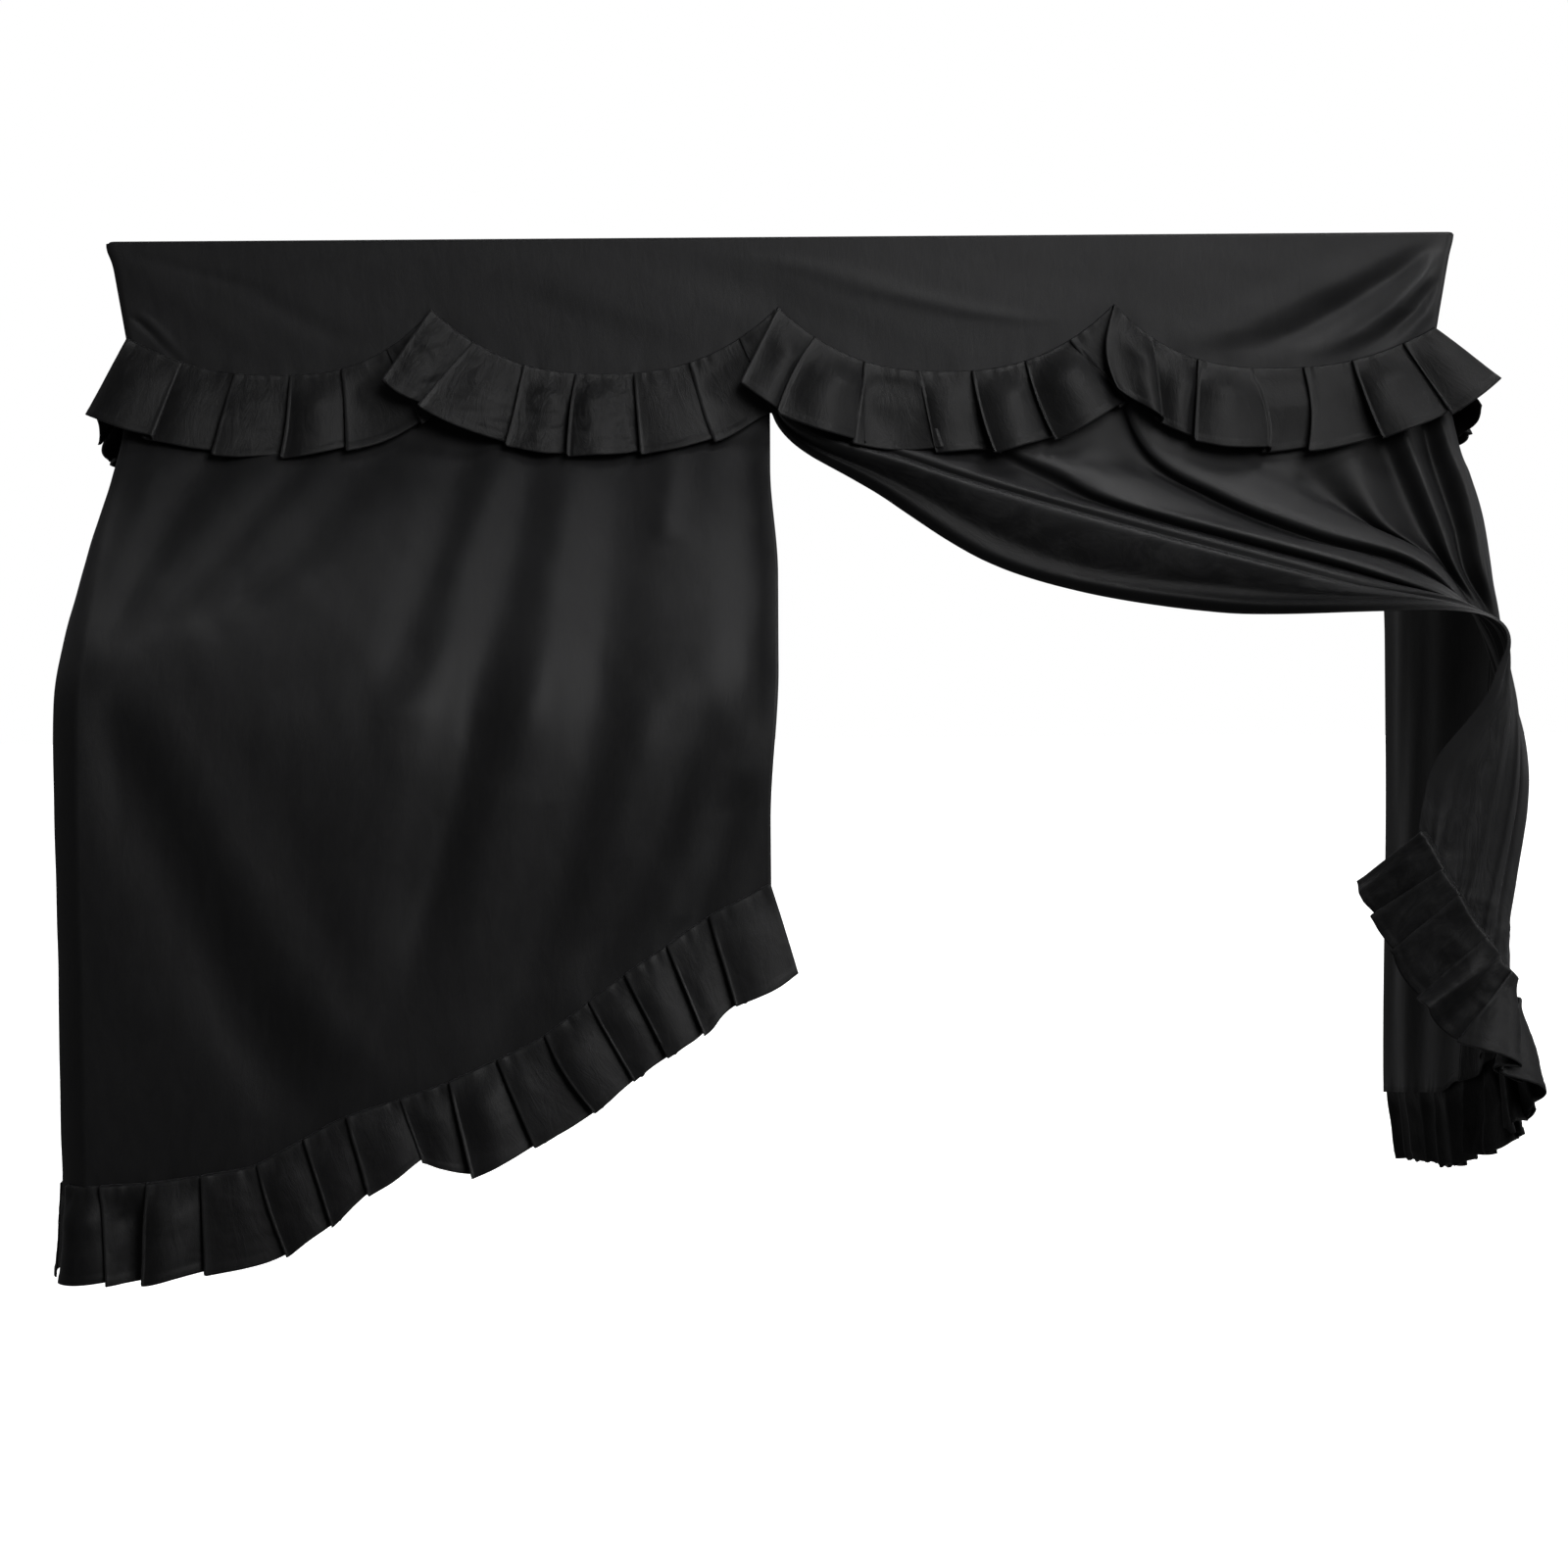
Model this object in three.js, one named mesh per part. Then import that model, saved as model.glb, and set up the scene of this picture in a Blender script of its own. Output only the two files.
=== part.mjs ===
// Full dust cover for an upright piano, dressed and with its right front half swept aside.
// Millimetres. X runs to the right, Y to the back, Z up. The origin is the middle of the
// underside of the flat top, where the cloth lies on the lid.
import * as THREE from 'three';

// ---- cloth -------------------------------------------------------------------------
const CLOTH = 1.6;              // thickness of the velvet
const BUTT = 0.4;               // slit left between two edges sewn edge to edge
const LAP = 2.1;                // middle of a ruffle's root to the middle of the cloth under it
const COLOUR = 0x1b1b1d;
const ROUGHNESS = 0.92;

// ---- box shape of the cover ----------------------------------------------------------
const TOP_HALF_WIDTH = 751.5;   // middle of the cloth, at the top edge
const TOP_HALF_DEPTH = 182;
const SEAM_HALF_WIDTH = 733;    // pulled in below the lid's overhang
const SEAM_FRONT = -178;
const TUCK_DEPTH = 110;         // height over which the sides are pulled in
const CORNER = 10;              // radius of the upright corners at the top
const TOP_CORNER = 6;           // the same on the flat top
const LOWER_CORNER = 30;        // the same below the key ledge
const BAND_DROP = 158;          // depth of the plain band across the back

// ---- front slope over the keys -------------------------------------------------------
const SLOPE = 0.963;            // forward run for each unit of drop
const SLOPE_TOP = -220;
const SLOPE_END = -492;
const SLOPE_START_SOFT = 10;    // how gently the slope begins and ends
const SLOPE_END_SOFT = 16;
const LEDGE_LEVEL = -560;       // below this the cloth hangs straight

// ---- ruffles -------------------------------------------------------------------------
const RUFFLE = 92;              // depth of the upper ruffle
const HEM_RUFFLE = 94;
const ROOT_FOLD = 1 / 3;        // share of a pleat's height that is left at the seam
const ROOT_RISE = 5;            // how far a ruffle starts above its seam
const ROOT_TURN = 4;            // return under the fold at the seam
const FOLD_TURN = 12;           // the same at the lower edge
const RUFFLE_ROWS = 2;

// One row for each scallop of the yoke seam, from left to right.
const SCALLOPS = [
  { from: -733, to: -391, zFrom: -112, zTo: -84, low: -156 },
  { from: -391, to: -4, zFrom: -84, zTo: -84, low: -157 },
  { from: -4, to: 371, zFrom: -84, zTo: -84, low: -157 },
  { from: 371, to: 733, zFrom: -84, zTo: -110, low: -156 },
];

// Pleats of the upper ruffle. at: folded edge along the seam, lean: sideways run to the
// lower edge, fold: height of the fold there. The last row of each list is the end.
const UPPER_PLEATS = [
  [
    { at: -731, lean: -38, fold: 11 },
    { at: -674, lean: -36, fold: 13 },
    { at: -614, lean: -18, fold: 15 },
    { at: -550, lean: -8, fold: 15 },
    { at: -492, lean: 6, fold: 15 },
    { at: -442, lean: 34, fold: 10 },
    { at: -393, lean: 36, fold: 3 },
  ],
  [
    { at: -391, lean: -48, fold: 11 },
    { at: -348, lean: -52, fold: 13 },
    { at: -289, lean: -18, fold: 15 },
    { at: -234, lean: -6, fold: 17 },
    { at: -166, lean: 7, fold: 16 },
    { at: -104, lean: 30, fold: 12 },
    { at: -47, lean: 36, fold: 8 },
    { at: -6, lean: 40, fold: 3 },
  ],
  [
    { at: -4, lean: -40, fold: 11 },
    { at: 37, lean: -38, fold: 14 },
    { at: 92, lean: -17, fold: 15 },
    { at: 154, lean: 14, fold: 17 },
    { at: 211, lean: 28, fold: 16 },
    { at: 271, lean: 34, fold: 13 },
    { at: 322, lean: 52, fold: 8 },
    { at: 369, lean: 50, fold: 3 },
  ],
  [
    { at: 371, lean: -12, fold: 12 },
    { at: 411, lean: -2, fold: 14 },
    { at: 465, lean: -10, fold: 16 },
    { at: 520, lean: 16, fold: 17 },
    { at: 583, lean: -4, fold: 16 },
    { at: 637, lean: 28, fold: 16 },
    { at: 690, lean: 42, fold: 14 },
    { at: 731, lean: 66, fold: 9 },
  ],
];

// Hem seam of the left half: width position and height.
const HEM_LINE = [
  { x: -741, z: -1012 },
  { x: -640, z: -1007 },
  { x: -540, z: -992 },
  { x: -449, z: -942 },
  { x: -345, z: -909 },
  { x: -250, z: -866 },
  { x: -160, z: -798 },
  { x: -75, z: -740 },
  { x: -9, z: -705 },
];

const HEM_PLEATS = [
  { at: -735, lean: -4, fold: 4 },
  { at: -697, lean: 8, fold: 12 },
  { at: -651, lean: 0, fold: 14 },
  { at: -595, lean: 7, fold: 13 },
  { at: -538, lean: 25, fold: 12 },
  { at: -491, lean: 23, fold: 14 },
  { at: -446, lean: 24, fold: 15, depth: 80 },
  { at: -392, lean: 8, fold: 13, depth: 70 },
  { at: -343, lean: 25, fold: 14 },
  { at: -294, lean: 38, fold: 12 },
  { at: -246, lean: 46, fold: 13 },
  { at: -199, lean: 50, fold: 14 },
  { at: -160, lean: 48, fold: 12 },
  { at: -120, lean: 36, fold: 13 },
  { at: -76, lean: 29, fold: 12 },
  { at: -13, lean: 27, fold: 6 },
];

// Folds of the left half. out: height of a ridge (negative for a trough), wide: half width,
// path: points from top to bottom as width position and height.
const LEFT_FOLDS = [
  { out: 7, wide: 26, path: [[-692, -230], [-722, -423], [-728, -520]] },
  { out: -9, wide: 26, path: [[-620, -225], [-699, -392], [-722, -480]] },
  { out: 6, wide: 30, path: [[-570, -235], [-640, -360], [-700, -470]] },
  { out: -9, wide: 34, path: [[-440, -225], [-529, -369], [-600, -430]] },
  { out: -9, wide: 22, path: [[-345, -225], [-374, -385], [-394, -470]] },
  { out: 7, wide: 24, path: [[-312, -225], [-345, -376], [-389, -520]] },
  { out: -13, wide: 26, path: [[-270, -225], [-295, -408], [-331, -587], [-385, -760]] },
  { out: 7, wide: 26, path: [[-226, -225], [-248, -439], [-262, -560]] },
  { out: -11, wide: 30, path: [[-181, -225], [-180, -439], [-206, -616], [-290, -870]] },
  { out: 6, wide: 26, path: [[-125, -225], [-143, -439], [-150, -520]] },
  { out: -7, wide: 20, path: [[-42, -225], [-35, -432], [-40, -520]] },
  { out: -9, wide: 24, path: [[-75, -520], [-140, -675], [-205, -800]] },
  { out: -7, wide: 18, path: [[-48, -600], [-89, -733], [-110, -770]] },
  { out: -14, wide: 34, path: [[-712, -500], [-652, -631], [-579, -792], [-500, -915]] },
  { out: 12, wide: 34, path: [[-650, -515], [-586, -660], [-506, -807], [-415, -900]] },
];

// Folds of the yoke, drawn from the right upper corner.
const YOKE_FOLDS = [
  { out: 6, wide: 20, path: [[742, -6], [655, -62], [560, -134]] },
  { out: -5, wide: 26, path: [[748, -2], [610, -50], [500, -120]] },
  { out: 4, wide: 14, path: [[738, -44], [700, -88], [655, -140]] },
  { out: -3, wide: 22, path: [[-748, -10], [-600, -60], [-500, -120]] },
];

// Lines along the swept right half, one row for each ridge or trough, from the free centre
// edge to the corner seam. seam: start on the yoke seam; hip, mid, low: points on the way,
// as width position and height; out: height of the ridge there; then the points of the
// gather on the key arm, the shoulder outside it, the drop, the waist and the hem. near is
// one more point of the free edge.
const SWEEP = [
  { seam: -3.6, hip: [-8, -205], near: [47, -241], mid: [150, -325], low: [352, -420], out: 0,
    gather: [737, -345, -430], shoulder: [757, -336, -500], drop: [712, -276, -585],
    waist: [700, -262, -628], hem: [694, -256, -668] },
  { seam: 8, hip: [22, -200], mid: [205, -286], low: [455, -386], out: 8,
    gather: [739, -334, -425], shoulder: [765, -331, -505], drop: [736, -296, -600],
    waist: [720, -282, -665], hem: [708, -278, -712] },
  { seam: 100, hip: [150, -226], mid: [292, -296], low: [500, -374], out: -6,
    gather: [740, -322, -431], shoulder: [769, -321, -508], drop: [758, -316, -605],
    waist: [738, -306, -700], hem: [722, -302, -752] },
  { seam: 215, hip: [262, -238], mid: [392, -306], low: [565, -368], out: 10,
    gather: [741, -310, -424], shoulder: [776, -312, -508], drop: [776, -329, -606],
    waist: [754, -322, -730], hem: [742, -318, -788] },
  { seam: 256, hip: [304, -246], mid: [428, -304], low: [592, -362], out: -4,
    gather: [742, -299, -431], shoulder: [773, -300, -508], drop: [784, -325, -606],
    waist: [764, -322, -752], hem: [758, -322, -815] },
  { seam: 300, hip: [346, -250], mid: [466, -306], low: [618, -358], out: 9,
    gather: [743, -287, -423], shoulder: [781, -288, -508], drop: [793, -310, -606],
    waist: [773, -310, -760], hem: [769, -312, -836] },
  { seam: 371, hip: [410, -242], mid: [516, -302], low: [646, -354], out: -9,
    gather: [745, -274, -431], shoulder: [777, -274, -508], drop: [790, -294, -606],
    waist: [772, -294, -768], hem: [775, -298, -856] },
  { seam: 468, hip: [512, -254], mid: [592, -308], low: [682, -356], out: 9,
    gather: [748, -261, -423], shoulder: [786, -260, -508], drop: [799, -274, -606],
    waist: [781, -276, -774], hem: [777, -279, -876] },
  { seam: 585, hip: [622, -246], mid: [668, -306], low: [714, -368], out: -7,
    gather: [755, -247, -433], shoulder: [782, -245, -510], drop: [793, -255, -606],
    waist: [775, -258, -778], hem: [772, -258, -896] },
  { seam: 668, hip: [690, -242], mid: [722, -312], low: [752, -378], out: 8,
    gather: [777, -232, -440], shoulder: [791, -228, -512], drop: [799, -236, -606],
    waist: [780, -238, -782], hem: [771, -238, -914] },
  { seam: 715, hip: [738, -240], mid: [762, -314], low: [779, -384], out: -5,
    gather: [789, -212, -446], shoulder: [790, -208, -516], drop: [791, -214, -606],
    waist: [774, -217, -786], hem: [763, -217, -930] },
];

// Corner seam of the right half: side position, depth position and height.
const RIGHT_CORNER = [
  { x: 733, y: -168, z: -110 },
  { x: 758, y: -167, z: -238 },
  { x: 767, y: -166.5, z: -264 },
  { x: 782, y: -166, z: -312 },
  { x: 792, y: -166, z: -396 },
  { x: 795, y: -166, z: -452 },
  { x: 791, y: -166, z: -520 },
  { x: 782, y: -166, z: -608 },
  { x: 768, y: -166, z: -790 },
  { x: 754, y: -166, z: -950 },
];

// ---- small helpers -------------------------------------------------------------------
const clamp = (t) => Math.min(1, Math.max(0, t));
const mix = (a, b, t) => a + (b - a) * t;
const smooth = (t) => clamp(t) ** 2 * (3 - 2 * clamp(t));
const softRamp = (x, k) => (x > 30 * k ? x : k * Math.log1p(Math.exp(x / k)));
const vec = (x, y, z) => new THREE.Vector3(x, y, z);

// Smooth curve through equally spaced values, at t from 0 to 1.
function through(values, t) {
  const last = values.length - 1;
  const place = clamp(t) * last;
  const i = Math.min(last - 1, Math.floor(place));
  const f = place - i;
  const b = values[i];
  const c = values[i + 1];
  const a = i > 0 ? values[i - 1] : 2 * b - c;
  const d = i + 2 <= last ? values[i + 2] : 2 * c - b;
  const square = f * f;
  const cube = square * f;
  return 0.5 * (2 * b + (c - a) * f + (2 * a - 5 * b + 4 * c - d) * square
    + (3 * b - a - 3 * c + d) * cube);
}

// Straight-line look-up of column `out` against column `key` (rows in rising order of key).
function lookUp(rows, key, out, x) {
  let i = 1;
  while (i < rows.length - 1 && rows[i][key] < x) i += 1;
  const a = rows[i - 1];
  const b = rows[i];
  return mix(a[out], b[out], clamp((x - a[key]) / (b[key] - a[key])));
}

// ---- shape of the dressed cover ------------------------------------------------------
function frontY(z) {
  const tuck = 4 * (1 - smooth(-z / TUCK_DEPTH));
  const run = softRamp(SLOPE_TOP - z, SLOPE_START_SOFT) - softRamp(SLOPE_END - z, SLOPE_END_SOFT);
  return SEAM_FRONT - tuck - SLOPE * run;
}

function sideX(z) {
  const tuck = (TOP_HALF_WIDTH - SEAM_HALF_WIDTH) * (1 - smooth(-z / TUCK_DEPTH));
  const belly = 18 * smooth((-z - 110) / 340) - 6 * smooth((-z - 600) / 400);
  return SEAM_HALF_WIDTH + tuck + belly;
}

function cornerRadius(z) {
  return mix(CORNER, LOWER_CORNER, smooth((-z - 200) / 300));
}

// Height of the yoke seam across the front.
function seamZ(x) {
  const row = SCALLOPS.find((s) => x <= s.to) ?? SCALLOPS[SCALLOPS.length - 1];
  const t = clamp((x - row.from) / (row.to - row.from));
  const chord = mix(row.zFrom, row.zTo, t);
  const depth = 1 - Math.abs(2 * t - 1) ** 2.5;
  return mix(chord, row.low, depth);
}

// Height of the yoke seam along a side, t from front to back.
function sideSeamZ(t) {
  const depth = 1 - Math.abs(2 * t - 1) ** 2.5;
  return mix(-111, -152, depth);
}

// Sum of folds at a point, from a list of ridges and troughs.
function foldHeight(folds, x, z) {
  let sum = 0;
  for (const fold of folds) {
    const top = fold.path[0][1];
    const end = fold.path[fold.path.length - 1][1];
    const t = (z - top) / (end - top);
    const fade = smooth((t + 0.12) / 0.3) * smooth((1.12 - t) / 0.3);
    const heights = fold.path.map((p) => p[1]);
    let i = 1;
    while (i < heights.length - 1 && heights[i] > z) i += 1;
    const [xa, za] = fold.path[i - 1];
    const [xb, zb] = fold.path[i];
    const centre = mix(xa, xb, (z - za) / (zb - za));
    sum += fold.out * fade * Math.exp(-(((x - centre) / fold.wide) ** 2));
  }
  return sum;
}

// ---- closed body of a cloth piece from its middle surface ------------------------------
function quadNormal(a, b, c, d) {
  const across = vec().subVectors(c, a);
  const down = vec().subVectors(d, b);
  return across.cross(down).normalize();
}

function vertexShifts(grid) {
  const columns = grid.length;
  const rows = grid[0].length;
  const normals = grid.slice(1).map((column, i) => column.slice(1).map((point, j) => quadNormal(
    grid[i][j], grid[i + 1][j], grid[i + 1][j + 1], grid[i][j + 1])));
  return grid.map((column, i) => column.map((point, j) => {
    const near = [];
    for (let di = Math.max(0, i - 1); di <= Math.min(columns - 2, i); di += 1) {
      for (let dj = Math.max(0, j - 1); dj <= Math.min(rows - 2, j); dj += 1) {
        near.push(normals[di][dj]);
      }
    }
    const mean = near.reduce((sum, n) => sum.add(n), vec(0, 0, 0)).normalize();
    const fit = Math.min(...near.map((n) => n.dot(mean)));
    return mean.multiplyScalar((CLOTH / 2) / Math.max(fit, 0.5));
  }));
}

// grid[i][j] is the middle of the cloth: i along its width, j down its length.
function clothMesh(name, grid) {
  const columns = grid.length;
  const rows = grid[0].length;
  const shifts = vertexShifts(grid);
  const positions = [];
  for (const side of [1, -1]) {
    for (let i = 0; i < columns; i += 1) {
      for (let j = 0; j < rows; j += 1) {
        const p = grid[i][j].clone().addScaledVector(shifts[i][j], side);
        positions.push(p.x, p.y, p.z);
      }
    }
  }
  const face = (i, j) => i * rows + j;
  const lining = (i, j) => columns * rows + i * rows + j;
  const index = [];
  const quad = (a, b, c, d) => index.push(a, b, c, a, c, d);
  for (let i = 0; i < columns - 1; i += 1) {
    for (let j = 0; j < rows - 1; j += 1) {
      const straight = grid[i][j].distanceTo(grid[i + 1][j + 1]);
      const crossed = grid[i + 1][j].distanceTo(grid[i][j + 1]);
      const corners = [[i, j], [i + 1, j], [i + 1, j + 1], [i, j + 1]];
      const turn = straight <= crossed ? 0 : 1;
      const order = [0, 1, 2, 3].map((k) => corners[(k + turn) % 4]);
      quad(...order.map((c) => face(...c)));
      quad(...order.reverse().map((c) => lining(...c)).map((v, k, all) => all[(k + 3) % 4]));
    }
  }
  for (let i = 0; i < columns - 1; i += 1) {
    quad(face(i + 1, 0), face(i, 0), lining(i, 0), lining(i + 1, 0));
    quad(face(i, rows - 1), face(i + 1, rows - 1), lining(i + 1, rows - 1), lining(i, rows - 1));
  }
  for (let j = 0; j < rows - 1; j += 1) {
    quad(face(0, j), face(0, j + 1), lining(0, j + 1), lining(0, j));
    quad(face(columns - 1, j + 1), face(columns - 1, j), lining(columns - 1, j),
      lining(columns - 1, j + 1));
  }
  return finish(name, positions, index);
}

function finish(name, positions, index) {
  const geometry = new THREE.BufferGeometry();
  geometry.setAttribute('position', new THREE.Float32BufferAttribute(positions, 3));
  geometry.setIndex(index);
  geometry.computeVertexNormals();
  const mesh = new THREE.Mesh(geometry, new THREE.MeshStandardMaterial({
    color: COLOUR, roughness: ROUGHNESS, metalness: 0 }));
  mesh.name = name;
  return mesh;
}

// ---- flat top ------------------------------------------------------------------------
function topPanel() {
  const radius = TOP_CORNER;
  const halfWidth = TOP_HALF_WIDTH + CLOTH / 2;
  const halfDepth = TOP_HALF_DEPTH + CLOTH / 2;
  const shape = new THREE.Shape();
  const centres = [[1, 1], [-1, 1], [-1, -1], [1, -1]];
  centres.forEach(([sx, sy], corner) => {
    for (let step = 0; step <= 3; step += 1) {
      const angle = (corner + step / 3) * (Math.PI / 2);
      const x = sx * (halfWidth - radius) + radius * Math.cos(angle);
      const y = sy * (halfDepth - radius) + radius * Math.sin(angle);
      if (corner === 0 && step === 0) shape.moveTo(x, y);
      else shape.lineTo(x, y);
    }
  });
  shape.closePath();
  const solid = new THREE.ExtrudeGeometry(shape, { depth: CLOTH, bevelEnabled: false });
  const mesh = new THREE.Mesh(solid, new THREE.MeshStandardMaterial({
    color: COLOUR, roughness: ROUGHNESS, metalness: 0 }));
  mesh.name = 'top_panel';
  return mesh;
}

// ---- left front half ---------------------------------------------------------------------
const ARC_STEPS = 4;             // facets of the rounded corner
const LEFT_START = -723;        // seam width positions of the flat part of the left half
const CENTRE_EDGE = -4.4;
const LEFT_COLUMNS = [
  { from: LEFT_START, to: -391, steps: 11 },
  { from: -391, to: CENTRE_EDGE, steps: 13 },
];
const HEM_FROM = -711;          // the same at the hem
const HEM_TO = -13;
const HEM_TUCK = 6;             // how far the cloth ends above the hem seam
const ROWS_ABOVE_LEDGE = 12;
const ROWS_BELOW_LEDGE = 9;

function centreEdgeX(z) {
  return CENTRE_EDGE - 9 * smooth((-z - 84) / 70) + 8 * smooth((-z - 260) / 120)
    - 9 * smooth((-z - 480) / 160);
}

function hemZ(x) {
  return lookUp(HEM_LINE, 'x', 'z', x);
}

// Width fractions of the columns of the left half, 0 at the corner, 1 at the centre edge.
function leftFractions() {
  const marks = [];
  for (const part of LEFT_COLUMNS) {
    for (let i = marks.length ? 1 : 0; i <= part.steps; i += 1) {
      marks.push(mix(part.from, part.to, i / part.steps));
    }
  }
  return marks.map((x) => (x - LEFT_START) / (CENTRE_EDGE - LEFT_START));
}

// Point of the left half at column c (corner arc first) and height z, folds included.
function leftPoint(fraction, z) {
  const radius = cornerRadius(z);
  const side = -sideX(z);
  const front = frontY(z);
  if (fraction < 0) {
    const angle = -fraction * (Math.PI / 2);
    const x = side + radius * (1 - Math.sin(angle));
    const y = front + radius * (1 - Math.cos(angle));
    return vec(x, y, z);
  }
  const x = mix(side + radius, centreEdgeX(z), fraction);
  const calm = smooth((seamZ(x) - z - 40) / 60);
  const quiet = smooth(fraction / 0.06) * smooth((1 - fraction) / 0.03);
  return vec(x, front - calm * quiet * foldHeight(LEFT_FOLDS, x, z), z);
}

function leftColumnHeights(fraction) {
  const corner = fraction < 0;
  const seamX = corner ? LEFT_START + CORNER * fraction : mix(LEFT_START, CENTRE_EDGE, fraction);
  const top = seamZ(seamX) - BUTT / 2;
  const bottom = hemZ(corner ? HEM_LINE[0].x : mix(HEM_FROM, HEM_TO, fraction)) - HEM_TUCK;
  const heights = [];
  for (let j = 0; j <= ROWS_ABOVE_LEDGE; j += 1) {
    heights.push(mix(top, LEDGE_LEVEL, j / ROWS_ABOVE_LEDGE));
  }
  for (let j = 1; j <= ROWS_BELOW_LEDGE; j += 1) {
    heights.push(mix(LEDGE_LEVEL, bottom, j / ROWS_BELOW_LEDGE));
  }
  return heights;
}

function leftFractionList() {
  const arc = [];
  for (let k = ARC_STEPS; k >= 1; k -= 1) arc.push(-k / ARC_STEPS);
  return [...arc, ...leftFractions()];
}

function leftGrid() {
  return leftFractionList().map((fraction) => leftColumnHeights(fraction)
    .map((z) => leftPoint(fraction, z)));
}

// ---- right front half ------------------------------------------------------------------
const SWEEP_STEPS = 3;
const STATION_STEPS = 3;

// Stations of each line of the right half, from the seam to the hem, as points.
function sweepLines() {
  const forward = [3, 18, 48, 94];
  const lines = SWEEP.map((row, k) => {
    const swing = k / (SWEEP.length - 1);
    const onSlope = (point, step, share) => {
      const lean = forward[step] * (1 - 0.45 * swing) + row.out * share;
      return vec(point[0], SEAM_FRONT - lean, point[1]);
    };
    const near = row.near ?? [0, 1].map((c) => mix(row.hip[c], row.mid[c], 0.36));
    return [
      vec(row.seam, SEAM_FRONT, seamZ(row.seam) - BUTT / 2),
      onSlope(row.hip, 0, 0.5),
      onSlope(near, 1, 0.8),
      onSlope(row.mid, 2, 1),
      onSlope(row.low, 3, 0.9),
      vec(...row.gather),
      vec(...row.shoulder),
      vec(...row.drop),
      vec(...row.waist),
      vec(...row.hem),
    ];
  });
  const seam = RIGHT_CORNER.map((p, j) => vec(p.x, p.y, p.z - (j === 0 ? BUTT / 2 : 0)));
  const before = lines[lines.length - 1];
  const bend = seam.map((p, j) => {
    const middle = p.clone().lerp(before[j], 0.5);
    const bulge = j === 0 ? vec(6, -3.5, 0) : vec(5, -3, 0);
    return middle.add(bulge);
  });
  return [...lines, bend, seam];
}

function smoothGrid(lines, across, down) {
  const blend = (points, t) => vec(
    through(points.map((p) => p.x), t),
    through(points.map((p) => p.y), t),
    through(points.map((p) => p.z), t),
  );
  const rows = (lines[0].length - 1) * down;
  const long = lines.map((line) => Array.from({ length: rows + 1 }, (_, j) => blend(line, j / rows)));
  const columns = (lines.length - 1) * across;
  return Array.from({ length: columns + 1 }, (_, i) => Array.from({ length: rows + 1 },
    (__, j) => blend(long.map((line) => line[j]), i / columns)));
}

function rightGrid() {
  const grid = smoothGrid(sweepLines(), SWEEP_STEPS, STATION_STEPS);
  for (const column of grid) {
    const top = column[0];
    if (top.x < 715) {
      top.z = seamZ(top.x) - BUTT / 2;
      top.y = SEAM_FRONT;
    }
  }
  return grid;
}

// ---- yoke and back band ------------------------------------------------------------------
const YOKE_ROWS = 6;

// Point on the top ring straight above a point of the seam.
function ringAbove(point) {
  const inner = SEAM_HALF_WIDTH - CORNER;
  const reach = Math.abs(point.x) - inner;
  const sign = Math.sign(point.x);
  const topInner = TOP_HALF_WIDTH - CORNER;
  if (reach <= 0) return vec(point.x * (topInner / inner), -TOP_HALF_DEPTH, -0.3);
  const angle = Math.atan2(reach, -(point.y - SEAM_FRONT - CORNER));
  return vec(sign * (topInner + CORNER * Math.sin(angle)),
    -TOP_HALF_DEPTH + CORNER * (1 - Math.cos(angle)), -0.3);
}

function yokeFrontGrid(left, right) {
  const seam = [...left, ...right].map((column) => column[0].clone().add(vec(0, 0, BUTT)));
  return seam.map((low) => {
    const high = ringAbove(low);
    return Array.from({ length: YOKE_ROWS + 1 }, (_, j) => {
      const t = j / YOKE_ROWS;
      const p = high.clone().lerp(low, t);
      const calm = Math.sin(Math.PI * t) ** 2 * smooth((722 - Math.abs(p.x)) / 30);
      p.y -= calm * foldHeight(YOKE_FOLDS, p.x, p.z);
      return p;
    });
  });
}

const SIDE_COLUMNS = 8;

// Depth position at which a side ends and the back's rounded corner begins.
function backCornerY(z) {
  return TOP_HALF_DEPTH - CORNER - 4 * clamp(-z / BAND_DROP);
}

// Upper strip of a side, from the front corner to the back corner.
function yokeSideGrid(sign, cornerZ) {
  return Array.from({ length: SIDE_COLUMNS + 1 }, (_, i) => {
    const t = i / SIDE_COLUMNS;
    const low = mix(cornerZ + BUTT / 2, sideSeamZ(t) + BUTT / 2, smooth(t * 4));
    return Array.from({ length: YOKE_ROWS + 1 }, (__, j) => {
      const w = j / YOKE_ROWS;
      const z = mix(-0.3, low, w);
      const front = mix(-TOP_HALF_DEPTH, SEAM_FRONT, w) + CORNER + BUTT;
      const back = backCornerY(z) - BUTT;
      const x = mix(TOP_HALF_WIDTH, SEAM_HALF_WIDTH, w);
      return vec(sign * x, mix(front, back, t), z);
    });
  });
}

function bandGrid() {
  const columns = [];
  const rows = 3;
  const point = (sign, angle, along, w) => {
    const z = mix(-0.3, -BAND_DROP, w);
    const half = mix(TOP_HALF_WIDTH, SEAM_HALF_WIDTH, Math.min(1, w * 1.4));
    const radius = CORNER;
    const y = backCornerY(z) + CORNER;
    if (angle === null) return vec(along * (half - radius), y, z);
    return vec(sign * (half - radius + radius * Math.sin(angle)), y - radius * (1 - Math.cos(angle)), z);
  };
  const column = (sign, angle, along) => columns.push(
    Array.from({ length: rows + 1 }, (_, j) => point(sign, angle, along, j / rows)));
  for (let k = 3; k >= 1; k -= 1) column(1, (k / 3) * (Math.PI / 2), 0);
  for (let k = 0; k <= 10; k += 1) column(0, null, 1 - k / 5);
  for (let k = 1; k <= 3; k += 1) column(-1, (k / 3) * (Math.PI / 2), 0);
  return columns;
}

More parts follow.
